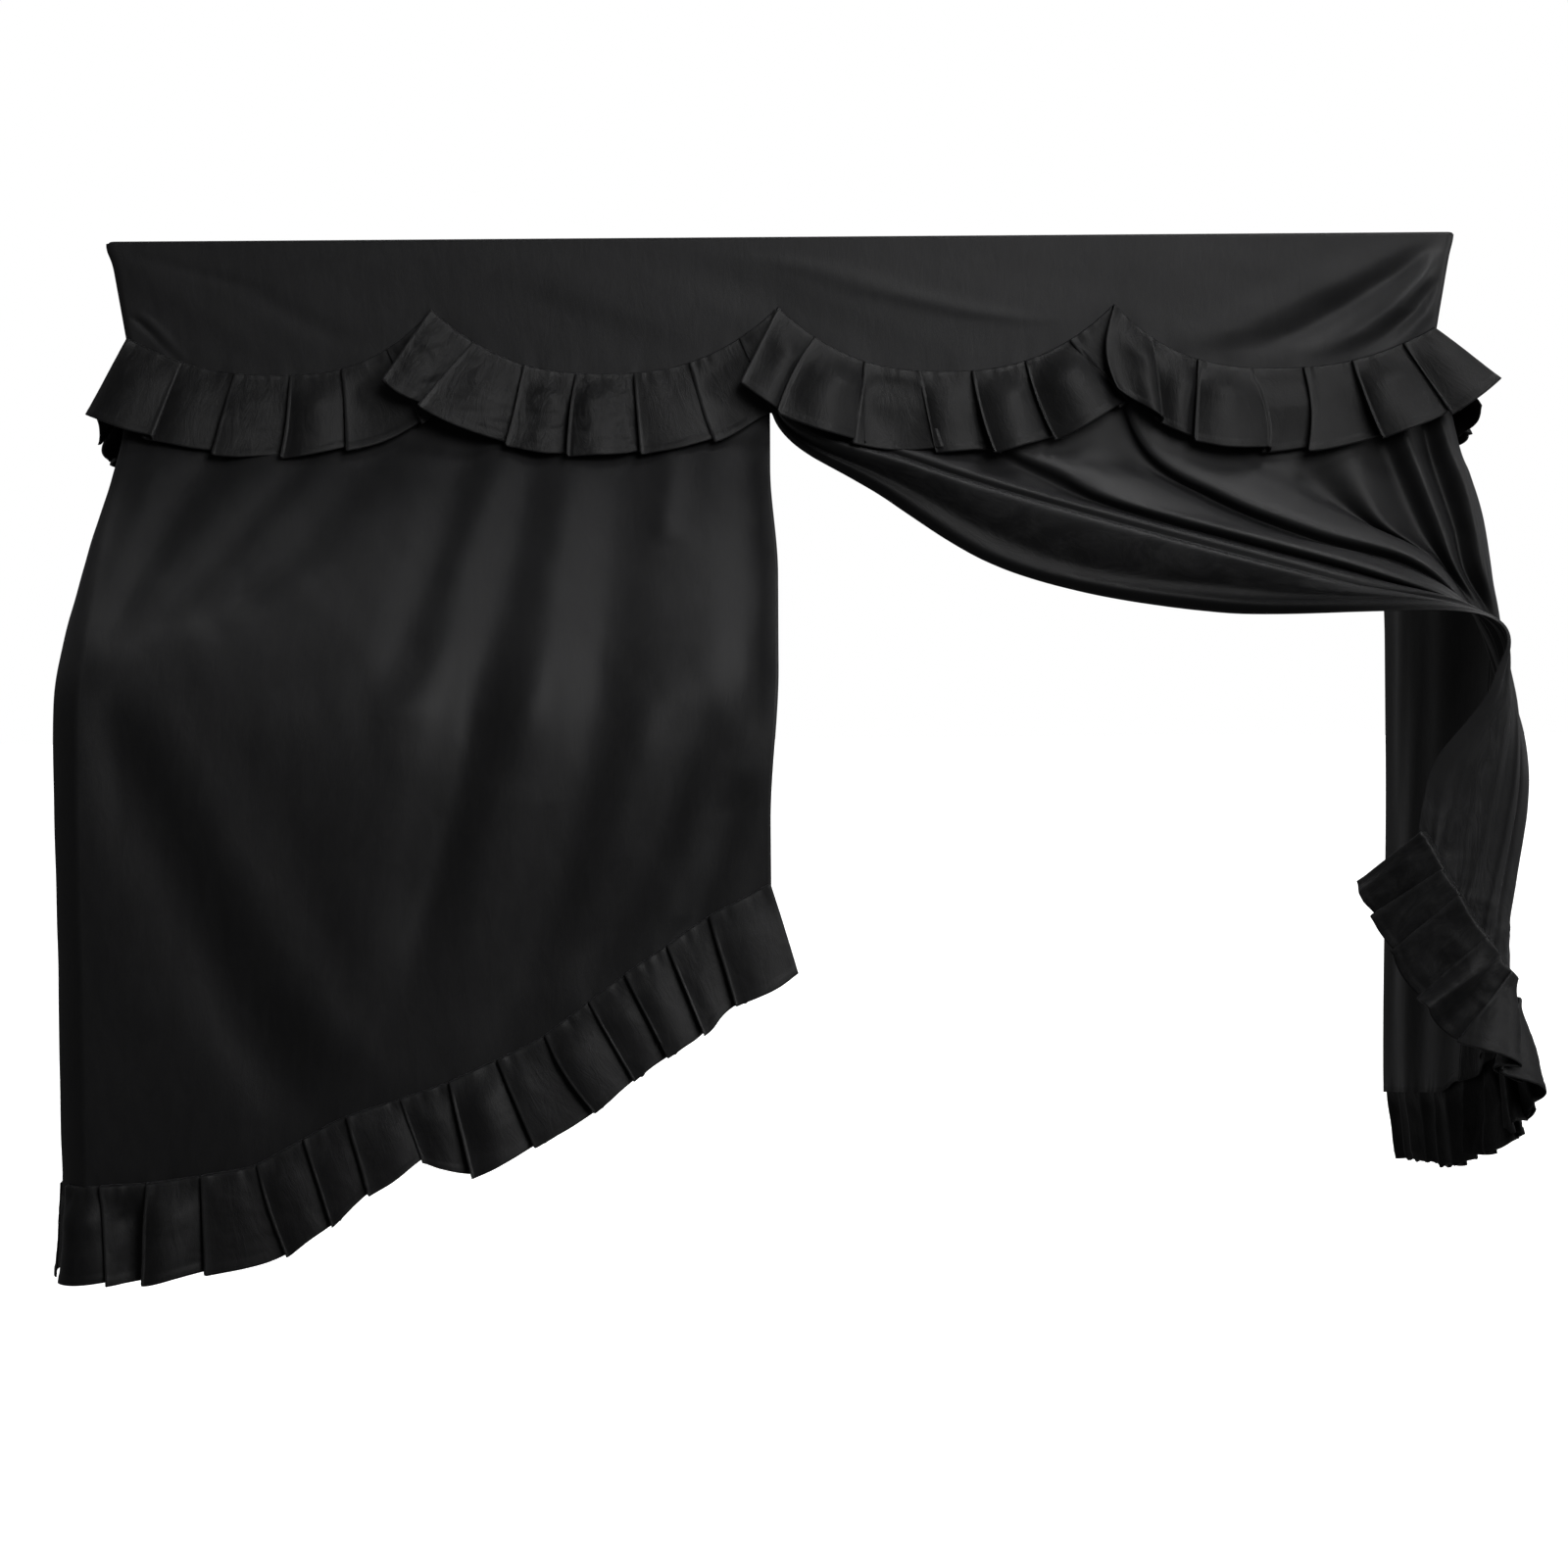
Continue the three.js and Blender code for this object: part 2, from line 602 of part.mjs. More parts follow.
// ---- sides below the yoke ------------------------------------------------------------------
// A side hangs from its seam; front is the column it is sewn to, drawn back by the slit.
function sideGrid(sign, front, hemFront, hemBack, topFront) {
  const rows = front.length - 1;
  return Array.from({ length: SIDE_COLUMNS + 1 }, (_, i) => {
    const t = i / SIDE_COLUMNS;
    const top = mix(topFront, sideSeamZ(t), smooth(t * 4)) - BUTT;
    const bottom = mix(hemFront, hemBack, t) - HEM_TUCK;
    return front.map((edge, j) => {
      const w = (edge.z - front[0].z) / (front[rows].z - front[0].z);
      const z = mix(top, bottom, w);
      const plain = sideX(z);
      const spread = smooth(w * 3);
      const wave = 3.5 * spread * Math.sin(t * 15 + 1.5 * w) * Math.sin(Math.PI * t);
      const x = mix(Math.abs(edge.x), plain + 1.5 * spread, smooth(t * 1.6)) + wave;
      const y = mix(edge.y + 2 * BUTT, backCornerY(z) - BUTT, t);
      return vec(sign * x, y, z);
    });
  });
}

// ---- pleated ruffles ----------------------------------------------------------------------
// root(s) gives the point on the cloth, and the directions across, down and out.
function ruffleGrid(pleats, root, options) {
  const { flare, raise, endFlare, lap = LAP } = options;
  const first = pleats[0].at;
  const last = pleats[pleats.length - 1].at;
  const rows = RUFFLE_ROWS;
  const point = (s, fold, w) => {
    const { at, across, down, out } = root(s);
    const lean = lookUp(pleats, 'at', 'lean', s);
    const depth = pleats.some((pleat) => pleat.depth) ? depthAt(pleats, s, options.depth)
      : options.depth;
    const along = clamp((s - first) / (last - first));
    const lift = mix(flare, endFlare, smooth((along - 0.72) / 0.24));
    const start = raise * (1 - smooth((s - first - 45) / 75));
    const height = fold * mix(ROOT_FOLD, 1, w);
    const reach = Math.sqrt(Math.max(0, depth * depth - lean * lean - lift * lift));
    return at.clone()
      .addScaledVector(across, lean * w)
      .addScaledVector(down, reach * w - ROOT_RISE)
      .addScaledVector(out, lap + lift * w ** 1.3 + height + mix(Math.min(start, 4), start, w));
  };
  const columns = [];
  const add = (place, fold, turn) => columns.push(Array.from({ length: rows + 1 }, (_, j) => {
    const w = j / rows;
    return point(place + turn * mix(ROOT_TURN, FOLD_TURN, w), fold, w);
  }));
  for (let k = 0; k < pleats.length - 1; k += 1) {
    const here = pleats[k];
    const next = pleats[k + 1];
    const final = k === pleats.length - 2;
    add(here.at, here.fold, 0);
    add(mix(here.at, next.at, 0.3), here.fold * 0.86, 0);
    add(mix(here.at, next.at, 0.72), here.fold * 0.4, 0);
    add(next.at, final ? next.fold * 0.5 : 0, final ? 0 : 1);
  }
  return columns;
}

// Directions on the front wall at a point of the yoke seam.
function frontRoot(x) {
  const inner = SEAM_HALF_WIDTH - 2;
  const place = Math.max(-inner, Math.min(inner, x));
  return {
    at: vec(place, SEAM_FRONT, seamZ(place)),
    across: vec(1, 0, 0),
    down: vec(0, 0, -1),
    out: vec(0, -1, 0),
  };
}

// Directions on a side wall; s runs from left to right seen from outside.
function sideRoot(sign) {
  return (s) => {
    const y = sign * s;
    const t = clamp((y + 168) / (2 * 168));
    return {
      at: vec(sign * SEAM_HALF_WIDTH, y, sideSeamZ(t)),
      across: vec(0, sign, 0),
      down: vec(0, 0, -1),
      out: vec(sign, 0, 0),
    };
  };
}

function sidePleats(sign) {
  const places = sign < 0
    ? [-166, -112, -58, -2, 54, 108, 163]
    : [-163, -108, -54, 2, 58, 112, 166];
  const leans = [-30, -20, -8, 2, 10, 22, 30];
  const folds = [11, 14, 15, 15, 14, 12, 5];
  return places.map((at, k) => ({ at, lean: leans[k], fold: folds[k] }));
}

// Root along the lower edge of a cloth. s is the distance along that edge, or the width
// position where byWidth is true; sign turns the outward direction.
function hemRoot(grid, sign, byWidth = false) {
  const edge = grid.map((column) => {
    const last = column.length - 1;
    return { low: column[last], high: column[last - 1] };
  });
  const lengths = [byWidth ? edge[0].low.x : 0];
  for (let i = 1; i < edge.length; i += 1) {
    const step = edge[i].low.distanceTo(edge[i - 1].low);
    lengths.push(byWidth ? edge[i].low.x : lengths[i - 1] + step);
  }
  const total = lengths[lengths.length - 1];
  const root = (s) => {
    let i = 1;
    while (i < lengths.length - 1 && lengths[i] < s) i += 1;
    const f = (s - lengths[i - 1]) / (lengths[i] - lengths[i - 1]);
    const low = edge[i - 1].low.clone().lerp(edge[i].low, f);
    const high = edge[i - 1].high.clone().lerp(edge[i].high, f);
    const before = edge[Math.max(0, i - 2)].low;
    const after = edge[Math.min(edge.length - 1, i + 1)].low;
    const across = after.clone().sub(before).normalize();
    const fall = low.clone().sub(high).normalize();
    const out = across.clone().cross(fall).normalize().multiplyScalar(sign);
    if (byWidth) {
      return { at: low.add(vec(0, 0, HEM_TUCK)), across: vec(1, 0, 0), down: vec(0, 0, -1), out };
    }
    const down = fall.clone().addScaledVector(across, -fall.dot(across)).normalize();
    return { at: low.addScaledVector(down, -HEM_TUCK), across, down, out };
  };
  return { root, total };
}

function evenPleats(from, to, count, folds, leans) {
  return Array.from({ length: count + 1 }, (_, k) => ({
    at: mix(from, to, k / count) + (k > 0 && k < count ? 5 * Math.sin(k * 2.3) : 0),
    lean: leans(k / count),
    fold: k === count ? 4 : folds * (1 + 0.18 * Math.sin(k * 1.7)),
  }));
}

// Depth of a ruffle where some pleats are shorter than the rest.
function depthAt(pleats, s, usual) {
  const rows = pleats.map((pleat) => ({ at: pleat.at, depth: pleat.depth ?? usual }));
  return lookUp(rows, 'at', 'depth', s);
}

// ---- the cover ------------------------------------------------------------------------------
export function buildCover() {
  const cover = new THREE.Group();
  cover.name = 'piano_cover';
  const left = leftGrid();
  const right = rightGrid();
  const leftSideFront = left[0];
  const rightSideFront = right[right.length - 1];
  const sideLeft = sideGrid(-1, leftSideFront, -1012, -1014, leftSideFront[0].z + BUTT / 2);
  const sideRight = sideGrid(1, rightSideFront, -956, -1008, rightSideFront[0].z + BUTT / 2);
  cover.add(topPanel());
  cover.add(clothMesh('yoke_front', yokeFrontGrid(left, right)));
  cover.add(clothMesh('yoke_left', yokeSideGrid(-1, leftSideFront[0].z + BUTT / 2)));
  cover.add(clothMesh('yoke_right', yokeSideGrid(1, rightSideFront[0].z + BUTT / 2)));
  cover.add(clothMesh('back_band', bandGrid()));
  cover.add(clothMesh('front_left_panel', left));
  cover.add(clothMesh('front_right_panel', right));
  cover.add(clothMesh('side_left_panel', sideLeft));
  cover.add(clothMesh('side_right_panel', sideRight));
  UPPER_PLEATS.forEach((pleats, k) => {
    const options = { depth: RUFFLE, flare: 25, endFlare: k === 3 ? 24 : 9, raise: k === 0 ? 0 : 11 };
    cover.add(clothMesh(`ruffle_front_${k + 1}`, ruffleGrid(pleats, frontRoot, options)));
  });
  const sideOptions = { depth: RUFFLE, flare: 29, endFlare: 27, raise: 0 };
  cover.add(clothMesh('ruffle_side_left', ruffleGrid(sidePleats(-1), sideRoot(-1), sideOptions)));
  cover.add(clothMesh('ruffle_side_right', ruffleGrid(sidePleats(1), sideRoot(1), sideOptions)));
  const hemOptions = { depth: HEM_RUFFLE, flare: 8, endFlare: 8, raise: 0 };
  const sideHem = { ...hemOptions, flare: 3, endFlare: 6 };
  const add = (name, pleats, root, choice) => cover.add(
    clothMesh(name, ruffleGrid(pleats, root, choice)));
  add('hem_front_left', HEM_PLEATS, hemRoot(left, -1, true).root, hemOptions);
  const leftHem = hemRoot(sideLeft, 1);
  const leftPleats = evenPleats(3, leftHem.total - 3, 10, 10, (t) => 8 * t);
  leftPleats[0].fold = 3;
  add('hem_side_left', leftPleats, leftHem.root, sideHem);
  const rightHem = hemRoot(sideRight, -1);
  const rightPleats = evenPleats(6, rightHem.total - 3, 6, 12, (t) => 8 * t);
  add('hem_side_right', rightPleats, rightHem.root, hemOptions);
  const tailHem = hemRoot(right, -1);
  const tailPleats = evenPleats(4, tailHem.total - 6, 9, 11, (t) => 26 * smooth(t * 1.5));
  cover.add(clothMesh('hem_front_right', ruffleGrid(tailPleats, tailHem.root,
    { ...hemOptions, flare: 3, endFlare: 3, lap: 5.4 })));
  return cover;
}

export default buildCover();
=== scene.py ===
"""Full velvet dust cover for an upright piano, dressed, with its right front half swept aside.

Every cloth is a surface worked out on a grid: columns run across it and rows run down it.
The tables and grids are in millimetres, and the meshes are in metres. X runs to the right,
Y to the back and Z up, and the origin is the middle of the underside of the flat top.
"""

import math

import bmesh
import bpy
import numpy as np
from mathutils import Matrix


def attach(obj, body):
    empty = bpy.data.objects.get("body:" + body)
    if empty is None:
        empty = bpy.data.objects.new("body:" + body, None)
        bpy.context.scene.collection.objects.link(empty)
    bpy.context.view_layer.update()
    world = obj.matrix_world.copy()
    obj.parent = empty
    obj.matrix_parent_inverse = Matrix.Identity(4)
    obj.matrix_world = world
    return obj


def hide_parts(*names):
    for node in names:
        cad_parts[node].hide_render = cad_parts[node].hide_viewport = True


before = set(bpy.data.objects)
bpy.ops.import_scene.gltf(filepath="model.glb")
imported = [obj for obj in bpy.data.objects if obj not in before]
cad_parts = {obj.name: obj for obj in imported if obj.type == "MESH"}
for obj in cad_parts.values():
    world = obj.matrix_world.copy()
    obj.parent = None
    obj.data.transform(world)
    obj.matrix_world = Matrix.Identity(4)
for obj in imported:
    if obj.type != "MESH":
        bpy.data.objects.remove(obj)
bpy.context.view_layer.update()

bl_info = {
    "name": "Piano dust cover",
    "version": (1, 0, 0),
    "blender": (4, 5, 0),
    "location": "View3D > Sidebar > Cover",
    "description": "Builds a ruffled velvet cover for an upright piano, with its studio",
    "category": "Object",
}

MM = 0.001
BODY = "root"
SIDES = (("left", -1), ("right", 1))
MATERIAL = "velvet_pile"

# ---- cloth, in millimetres ----
BUTT = 0.4  # slit between two edges sewn edge to edge
LAP = 2.1  # middle of a ruffle's root to the middle of the cloth under it
TAIL_LAP = 5.4  # the same where the root turns tightly, on the tail

# ---- box shape of the cover ----
TOP_HALF_WIDTH = 751.5
TOP_HALF_DEPTH = 182.0
SEAM_HALF_WIDTH = 733.0  # pulled in below the lid's overhang
SEAM_FRONT = -178.0
TUCK_DEPTH = 110.0  # drop over which it is pulled in
CORNER = 10.0  # radius of the upright corners
BAND_DROP = 158.0
TOP_EDGE = -0.3  # height at which the walls meet the flat top
TOP_CORNER = 7.0  # radius of the flat top's corners
TOP_ROLL = 2.2  # radius with which the flat top rolls over its edge
TOP_LIFT = 0.8  # height of the middle of the top's cloth
INNER_TOP = TOP_HALF_WIDTH - CORNER
INNER_SEAM = SEAM_HALF_WIDTH - CORNER
TUCK = TOP_HALF_DEPTH + SEAM_FRONT  # how far the front is drawn in under the lid
SCALLOP_POWER = 2.5
SIDE_SEAM_END = -111.0
SIDE_SEAM_LOW = -152.0
SIDE_SEAM_HALF = 168.0  # half the run of the side seam
STRAIGHT_SEAM_END = 715.0  # width position up to which the front's seam runs straight across

# Changes of width or radius below the top: by how much, from how far down, over what drop.
BELLY = ((18, 110, 340), (-6, 600, 400))
CORNER_GROWTH = ((20, 200, 300),)
CENTRE_BOW = ((-9, 84, 70), (8, 260, 120), (-9, 480, 160))

# ---- front slope over the keys ----
SLOPE = 0.963  # forward run for each millimetre of drop
SLOPE_TOP = -220.0
SLOPE_END = -492.0
SLOPE_START_SOFT = 10.0
SLOPE_END_SOFT = 16.0  # softness of the bend over the ledge, at the side
CENTRE_SOFT = 38.0  # the same towards the centre edge
LEDGE_LEVEL = -560.0  # height at which the grid's upper and lower rows meet

# ---- left half ----
LEFT_START = -INNER_SEAM
CENTRE_EDGE = -4.4
HEM_FROM = -711.0  # width positions where the hem starts and ends
HEM_TO = -13.0
LONG_WAVE = (70.0, 1.5)  # size and height of the waves between the folds
SHORT_WAVE = (26.0, 0.45)

# ---- sides ----
SIDE_WAVE = 3.5
SIDE_FOLD = 2.6
SIDE_BELLY = 1.5

# ---- ruffles ----
RUFFLE = 92.0
HEM_RUFFLE = 94.0
ROOT_FOLD = 1 / 3  # share of a pleat's height that is left at the seam
ROOT_RISE = 5.0  # how far a ruffle starts above its seam
ROOT_TURN = 4.0  # how far the cloth turns under a fold at the seam
FOLD_TURN = 12.0  # the same at the ruffle's edge
HEM_TUCK = 6.0  # how far a cloth's lower edge runs on under its hem ruffle
HEM_DRAW = 34.0  # height above the hem in which its seam puckers the cloth
OPENING_POWER = 1.3  # a ruffle stands off by the distance from its seam to this power
PANEL_POWER = 1.6  # a pleat's panel falls from its fold by the distance to this power
EDGE_SHARPNESS = 17.0  # how narrow the pressed edge of a fold is, against its panel
FULL_FOLD = 12.0  # height from which a fold is pressed to a full edge
SWELL = 2.1  # how much a panel swells for each millimetre of its bulge
RAISED_ROOT = 4.0  # the most that a raised start stands off at the seam
LEAST_SOFTNESS = 1.5  # softness with which a ruffle keeps its least stand-off
ROOT_SINK = 1.04  # what that softness adds at the seam, taken off again
ROLLED_STAND = 0.2  # stand-off of the edge that rolls back on to the cloth
ROLL_DROP = 1.6
RUFFLE_HEM = 9.0  # width of a ruffle's own hem
RUFFLE_HEM_STEP = 0.7  # and how far it stands proud
END_GAP = 3.0  # from a hem ruffle's end to the edge of its cloth

# Scallops of the yoke seam: from, to, height at each end, lowest height.
SCALLOPS = (
    (-733, -391, -112, -84, -156),
    (-391, -4, -84, -84, -157),
    (-4, 371, -84, -84, -157),
    (371, 733, -84, -110, -156),
)

# Columns of the pleat tables: place along the seam, sideways lean, height at the folded edge
# and at the panel's far edge, bulge of the panel and where it peaks, sideways bend, how
# crushed the pile is, and for the hem the depth of the ruffle.
PLACE, LEAN, FOLD, FAR, BULGE, PEAK, BEND, CRUSH, DEPTH = range(9)

# Pleats of the upper ruffle, one list for each scallop. The last row of a list is its end.
UPPER_PLEATS = (
    (
        (-731, -40, 12, 13, 4, 0.45, 0, 0.1),
        (-673, -38, 4, 0, 5, 0.42, 0, 0.12),
        (-611, -21, 15, 0, 3, 0.3, 0, 0.5),
        (-549, -8, 15, 0, 5, 0.45, 3, 0.15),
        (-491, 6, 17, 2, -4, 0.5, 0, 0.08),
        (-441, 40, 8, 0, 1, 0.5, 0, 0.1),
        (-393, 36, 3, 0, 0, 0.5, 0, 0.1),
    ),
    (
        (-391, -50, 12, 0, 3, 0.5, 0, 1.0),
        (-345, -58, 13, 0, 3, 0.5, 0, 1.0),
        (-288, -20, 15, 0, 6, 0.6, 2, 0.95),
        (-230, -8, 18, 0, 8, 0.38, -2, 1.0),
        (-165, 7, 18, 3, 2, 0.5, 0, 0.15),
        (-103, 28, 13, 0, -4, 0.55, -4, 0.1),
        (-47, 36, 7, 0, 1, 0.5, 0, 0.1),
        (-6, 40, 3, 0, 0, 0.5, 0, 0.1),
    ),
    (
        (-4, -42, 11, 0, 6, 0.62, 0, 0.1),
        (36, -40, 14, 0, 9, 0.62, -5, 0.1),
        (92, -17, 14, 13, -5, 0.5, 0, 0.12),
        (152, 17, 5, 0, 5, 0.35, 0, 0.15),
        (212, 22, 19, 0, 8, 0.45, -4, 0.1),
        (272, 30, 14, 0, 10, 0.5, -5, 0.06),
        (322, 52, 10, 0, -2, 0.5, 0, 0.05),
        (369, 50, 3, 0, 0, 0.5, 0, 0.1),
    ),
    (
        (371, 6, 13, 12, 6, 0.75, -15, 0.05),
        (411, 0, 4, 0, 8, 0.65, 0, 0.05),
        (464, -11, 17, 12, 7, 0.45, 0, 0.05),
        (521, 6, 5, 0, -2, 0.5, 10, 0.08),
        (582, -6, 17, 0, 1.5, 0.4, 8, 0.05),
        (636, 26, 18, 0, 7, 0.4, -3, 0.05),
        (694, 44, 14, 0, 3, 0.5, 0, 0.05),
        (731, 66, 9, 0, 0, 0.5, 0, 0.1),
    ),
)

# Hem seam of the left half: width position and height.
HEM_LINE = (
    (-741, -1012),
    (-640, -1007),
    (-540, -992),
    (-449, -942),
    (-345, -909),
    (-250, -866),
    (-160, -798),
    (-75, -740),
    (-9, -705),
)

# Hem height of each side (-1 left, 1 right) at its front and at its back.
SIDE_HEMS = {-1: (-1012, -1014), 1: (-956, -1008)}

# Pleats of the left half's hem.
HEM_PLEATS = (
    (-735, 6, 6, 0, 6, 0.35, 0, 0.2, 94),
    (-698, 10, 15, 2, -4, 0.5, 0, 0.25, 94),
    (-651, 0, 14, 0, 6, 0.25, 0, 0.25, 94),
    (-595, 7, 17, 3, 1, 0.5, 0, 0.2, 94),
    (-539, 34, 13, 0, 3, 0.4, -3, 0.25, 94),
    (-491, 32, 17, 0, 2, 0.4, 0, 0.2, 90),
    (-447, 25, 16, 2, 2, 0.5, 0, 0.2, 78),
    (-393, 24, 8, 0, 3, 0.5, 0, 0.2, 63),
    (-343, 24, 18, 0, 5, 0.5, 0, 0.2, 94),
    (-294, 39, 18, 0, 2, 0.3, 0, 0.2, 94),
    (-245, 56, 14, 0, 4, 0.3, -6, 0.25, 94),
    (-200, 48, 13, 0, 3, 0.45, 0, 0.2, 94),
    (-163, 46, 18, 0, 2, 0.35, 0, 0.2, 94),
    (-121, 36, 18, 0, 2, 0.35, 0, 0.2, 94),
    (-77, 30, 18, 2, 2, 0.45, 0, 0.15, 94),
    (-13, 28, 6, 0, 0, 0.5, 0, 0.1, 94),
)

# Folds of the left half: height of the ridge (a trough is negative), half width, and the
# points of its path from top to bottom.
LEFT_FOLDS = (
    (9, 30, ((-692, -230), (-722, -423), (-728, -520))),
    (-11, 30, ((-620, -225), (-699, -392), (-722, -480))),
    (5, 26, ((-570, -235), (-640, -360), (-700, -470))),
    (-5, 20, ((-520, -232), (-606, -372), (-668, -450))),
    (-10, 36, ((-440, -225), (-529, -369), (-600, -430))),
    (-13, 28, ((-345, -225), (-374, -385), (-394, -500))),
    (7, 28, ((-312, -225), (-345, -376), (-389, -520))),
    (-15, 32, ((-270, -225), (-295, -408), (-331, -587), (-385, -790))),
    (8, 30, ((-226, -225), (-248, -439), (-262, -560))),
    (-14, 40, ((-181, -225), (-180, -439), (-206, -616), (-290, -870))),
    (7, 16, ((-122, -225), (-124, -290), (-128, -340))),
    (-9, 24, ((-42, -225), (-35, -432), (-40, -520))),
    (-11, 34, ((-75, -500), (-140, -675), (-205, -800))),
    (-7, 20, ((-48, -600), (-89, -733), (-110, -770))),
    (-9, 44, ((-712, -500), (-652, -631), (-579, -792), (-500, -935))),
    (5, 40, ((-640, -515), (-570, -660), (-490, -807), (-415, -900))),
)

# Folds of the yoke, drawn from its upper corners: as for the left half.
YOKE_FOLDS = (
    (5, 40, ((745, 8), (640, -42), (560, -80), (470, -128))),
    (-8, 26, ((750, 2), (690, -42), (630, -80), (548, -128))),
    (12, 22, ((750, -8), (716, -50), (682, -84), (616, -132))),
    (-8, 14, ((751, -20), (730, -54), (706, -86), (654, -134))),
    (5, 9, ((752, -30), (738, -60), (722, -88), (682, -134))),
    (-3, 10, ((752, -40), (744, -66), (734, -88), (705, -135))),
    (-1.4, 26, ((-748, -4), (-600, -50), (-480, -120))),
    (1.2, 30, ((-742, -10), (-660, -70), (-560, -140))),
    (-3.5, 5, ((-722, -84), (-706, -100), (-672, -137))),
    (2, 6, ((-716, -78), (-698, -96), (-664, -134))),
    (1.6, 40, ((0, -20), (120, -60), (260, -95))),
)

# Painted highlight along the yoke's bright fold at the right, where the press value also makes the
# pile less rough, and painted shade in the dark bands beside it: strength, half width and path.
YOKE_PAINTED_HIGHLIGHT = (
    (0.9, 21, ((752, 0), (706, -46), (660, -80), (592, -126))),
    (0.45, 9, ((753, -24), (736, -54), (716, -84), (676, -132))),
)
YOKE_PAINTED_SHADE = (
    (0.3, 42, ((740, 4), (650, -46), (585, -80), (520, -130))),
    (0.35, 15, ((752, -16), (728, -50), (700, -84), (648, -132))),
)

# Lines of the swept right half from the free edge up to its side, one row for each crest or
# trough: start on the yoke seam, four points as width position and height, and the height
# of the crest (a trough is negative).
SWEEP = (
    (-3.6, (-6, -205), (104, -284), (256, -376), (477, -423), -24),
    (-1, (-3, -203), (110, -276), (262, -367), (482, -411), -13),
    (4, (0, -202), (136, -276), (310, -361), (532, -402), -11),
    (12, (8, -201), (141, -257), (302, -312), (566, -386), 10),
    (60, (66, -212), (152, -254), (324, -311), (608, -392), 1),
    (88, (98, -214), (174, -252), (325, -302), (615, -385), 7),
    (190, (218, -228), (288, -272), (390, -314), (642, -385), -8),
    (222, (252, -230), (312, -264), (391, -304), (643, -378), 11),
    (290, (322, -230), (397, -275), (508, -328), (666, -371), 2),
    (350, (392, -236), (473, -295), (581, -342), (687, -374), -11),
    (371, (404, -228), (489, -290), (589, -332), (694, -367), 10),
    (455, (475, -232), (544, -281), (628, -322), (708, -362), 2),
    (520, (552, -231), (594, -281), (647, -325), (713, -367), -8),
    (580, (622, -227), (641, -280), (665, -325), (717, -369), 4),
    (630, (668, -229), (687, -283), (705, -332), (730, -376), -9),
    (668, (697, -233), (712, -283), (726, -330), (739, -376), 10),
    (698, (719, -229), (733, -283), (745, -330), (753, -382), -12),
    (716, (739, -226), (756, -282), (765, -330), (772, -382), 7),
)

# Where those lines go after the slope, from the free edge to the side: the gather on the
# key arm, the shoulder outside it, the drop, the waist and the hem.
TAIL = (
    ((737, -345, -430), (757, -336, -500), (712, -276, -585), (700, -262, -628), (694, -256, -668)),
    ((739, -334, -425), (765, -331, -505), (736, -296, -600), (720, -282, -665), (708, -278, -712)),
    ((740, -322, -431), (769, -321, -508), (758, -316, -605), (738, -306, -700), (722, -302, -752)),
    ((741, -310, -424), (776, -312, -508), (776, -329, -606), (754, -322, -730), (742, -318, -788)),
    ((742, -299, -431), (773, -300, -508), (784, -325, -606), (764, -322, -752), (758, -322, -815)),
    ((743, -287, -423), (781, -288, -508), (793, -310, -606), (773, -310, -760), (769, -312, -836)),
    ((745, -274, -431), (777, -274, -508), (790, -294, -606), (772, -294, -768), (775, -298, -856)),
    ((748, -261, -423), (786, -260, -508), (799, -274, -606), (781, -276, -774), (777, -279, -876)),
    ((755, -247, -433), (782, -245, -510), (793, -255, -606), (775, -258, -778), (772, -258, -896)),
    ((777, -232, -440), (791, -228, -512), (799, -236, -606), (780, -238, -782), (771, -238, -914)),
    ((789, -212, -446), (790, -208, -516), (791, -214, -606), (774, -217, -786), (763, -217, -930)),
)

# Forward lean of the slope by height, and how much of it the line nearest the side loses.
SLOPE_LEAN = ((-420, 95), (-358, 67), (-306, 40), (-241, 16), (-200, 3), (-80, 0))
LEAN_LOSS = 0.45

# Share of a line's crest height at the slope's four points and at the tail's five, and the
# way the tail's crests stand.
SLOPE_SHARES = (0.7, 1.0, 1.0, 0.8)
TAIL_SHARES = (0.25, 0.5, 0.6, 0.5, 0.4)
TAIL_OUT = (0.45, -0.6, 0.0)

# Fine gathers between the lines: count across the half, height and phase of each cosine.
GATHERS = ((15.3, 1.4, 1.9), (26.0, 0.8, 4.0))

# Corner seam of the right half.
RIGHT_CORNER = (
    (733, -168, -110), (758, -167, -238), (767, -166.5, -264), (782, -166, -312),
    (792, -166, -396), (795, -166, -452), (791, -166, -520), (782, -166, -608),
    (768, -166, -790), (754, -166, -950),
)

# ---- painted light and shade ----
# How much lighter or darker each cloth's colour is painted, as light and shade, against the
# velvet's own colour.
UPPER_PAINTED_SHADES = (0.52, 0.5, 0.42, 0.34)  # front ruffles from left to right
SIDE_PAINTED_SHADE = 0.55
HEM_PAINTED_SHADE = 0.6
YOKE_PAINTED_LIGHT = 1.08
LEFT_PAINTED_SHADE = 0.88
# painted shade: the left half darker further down, by how much, from how far below the top, over
# what drop
LEFT_LOWER_PAINTED_SHADE = ((-0.08, 340, 160),)

# Sheets whose grid runs the other way round, so that their faces are turned to point outwards.
TURNED = ("yoke_left", "side_left_panel", "hem_side_left")

# ---- studio: places in metres, lens and sensor in millimetres ----
FLOOR_HALF = 30.0
FLOOR_ROUGHNESS = 0.9
FLOOR_GLOW = 0.45
WHITE = (1, 1, 1, 1)
COVER_CENTRE = (0.0, -0.2, -0.5)
SUN_PLACE = (0.5, 2.0, 3.0)
SUN_ANGLE = 50  # degrees across
SENSOR = 36.0
LENS = 59.6
SHIFT = -0.0638  # moves the frame down, so that the camera stays level


# ---- small helpers ----
def mix(a, b, t):
    """Straight blend from a (t = 0) to b (t = 1)."""
    return a + (b - a) * t


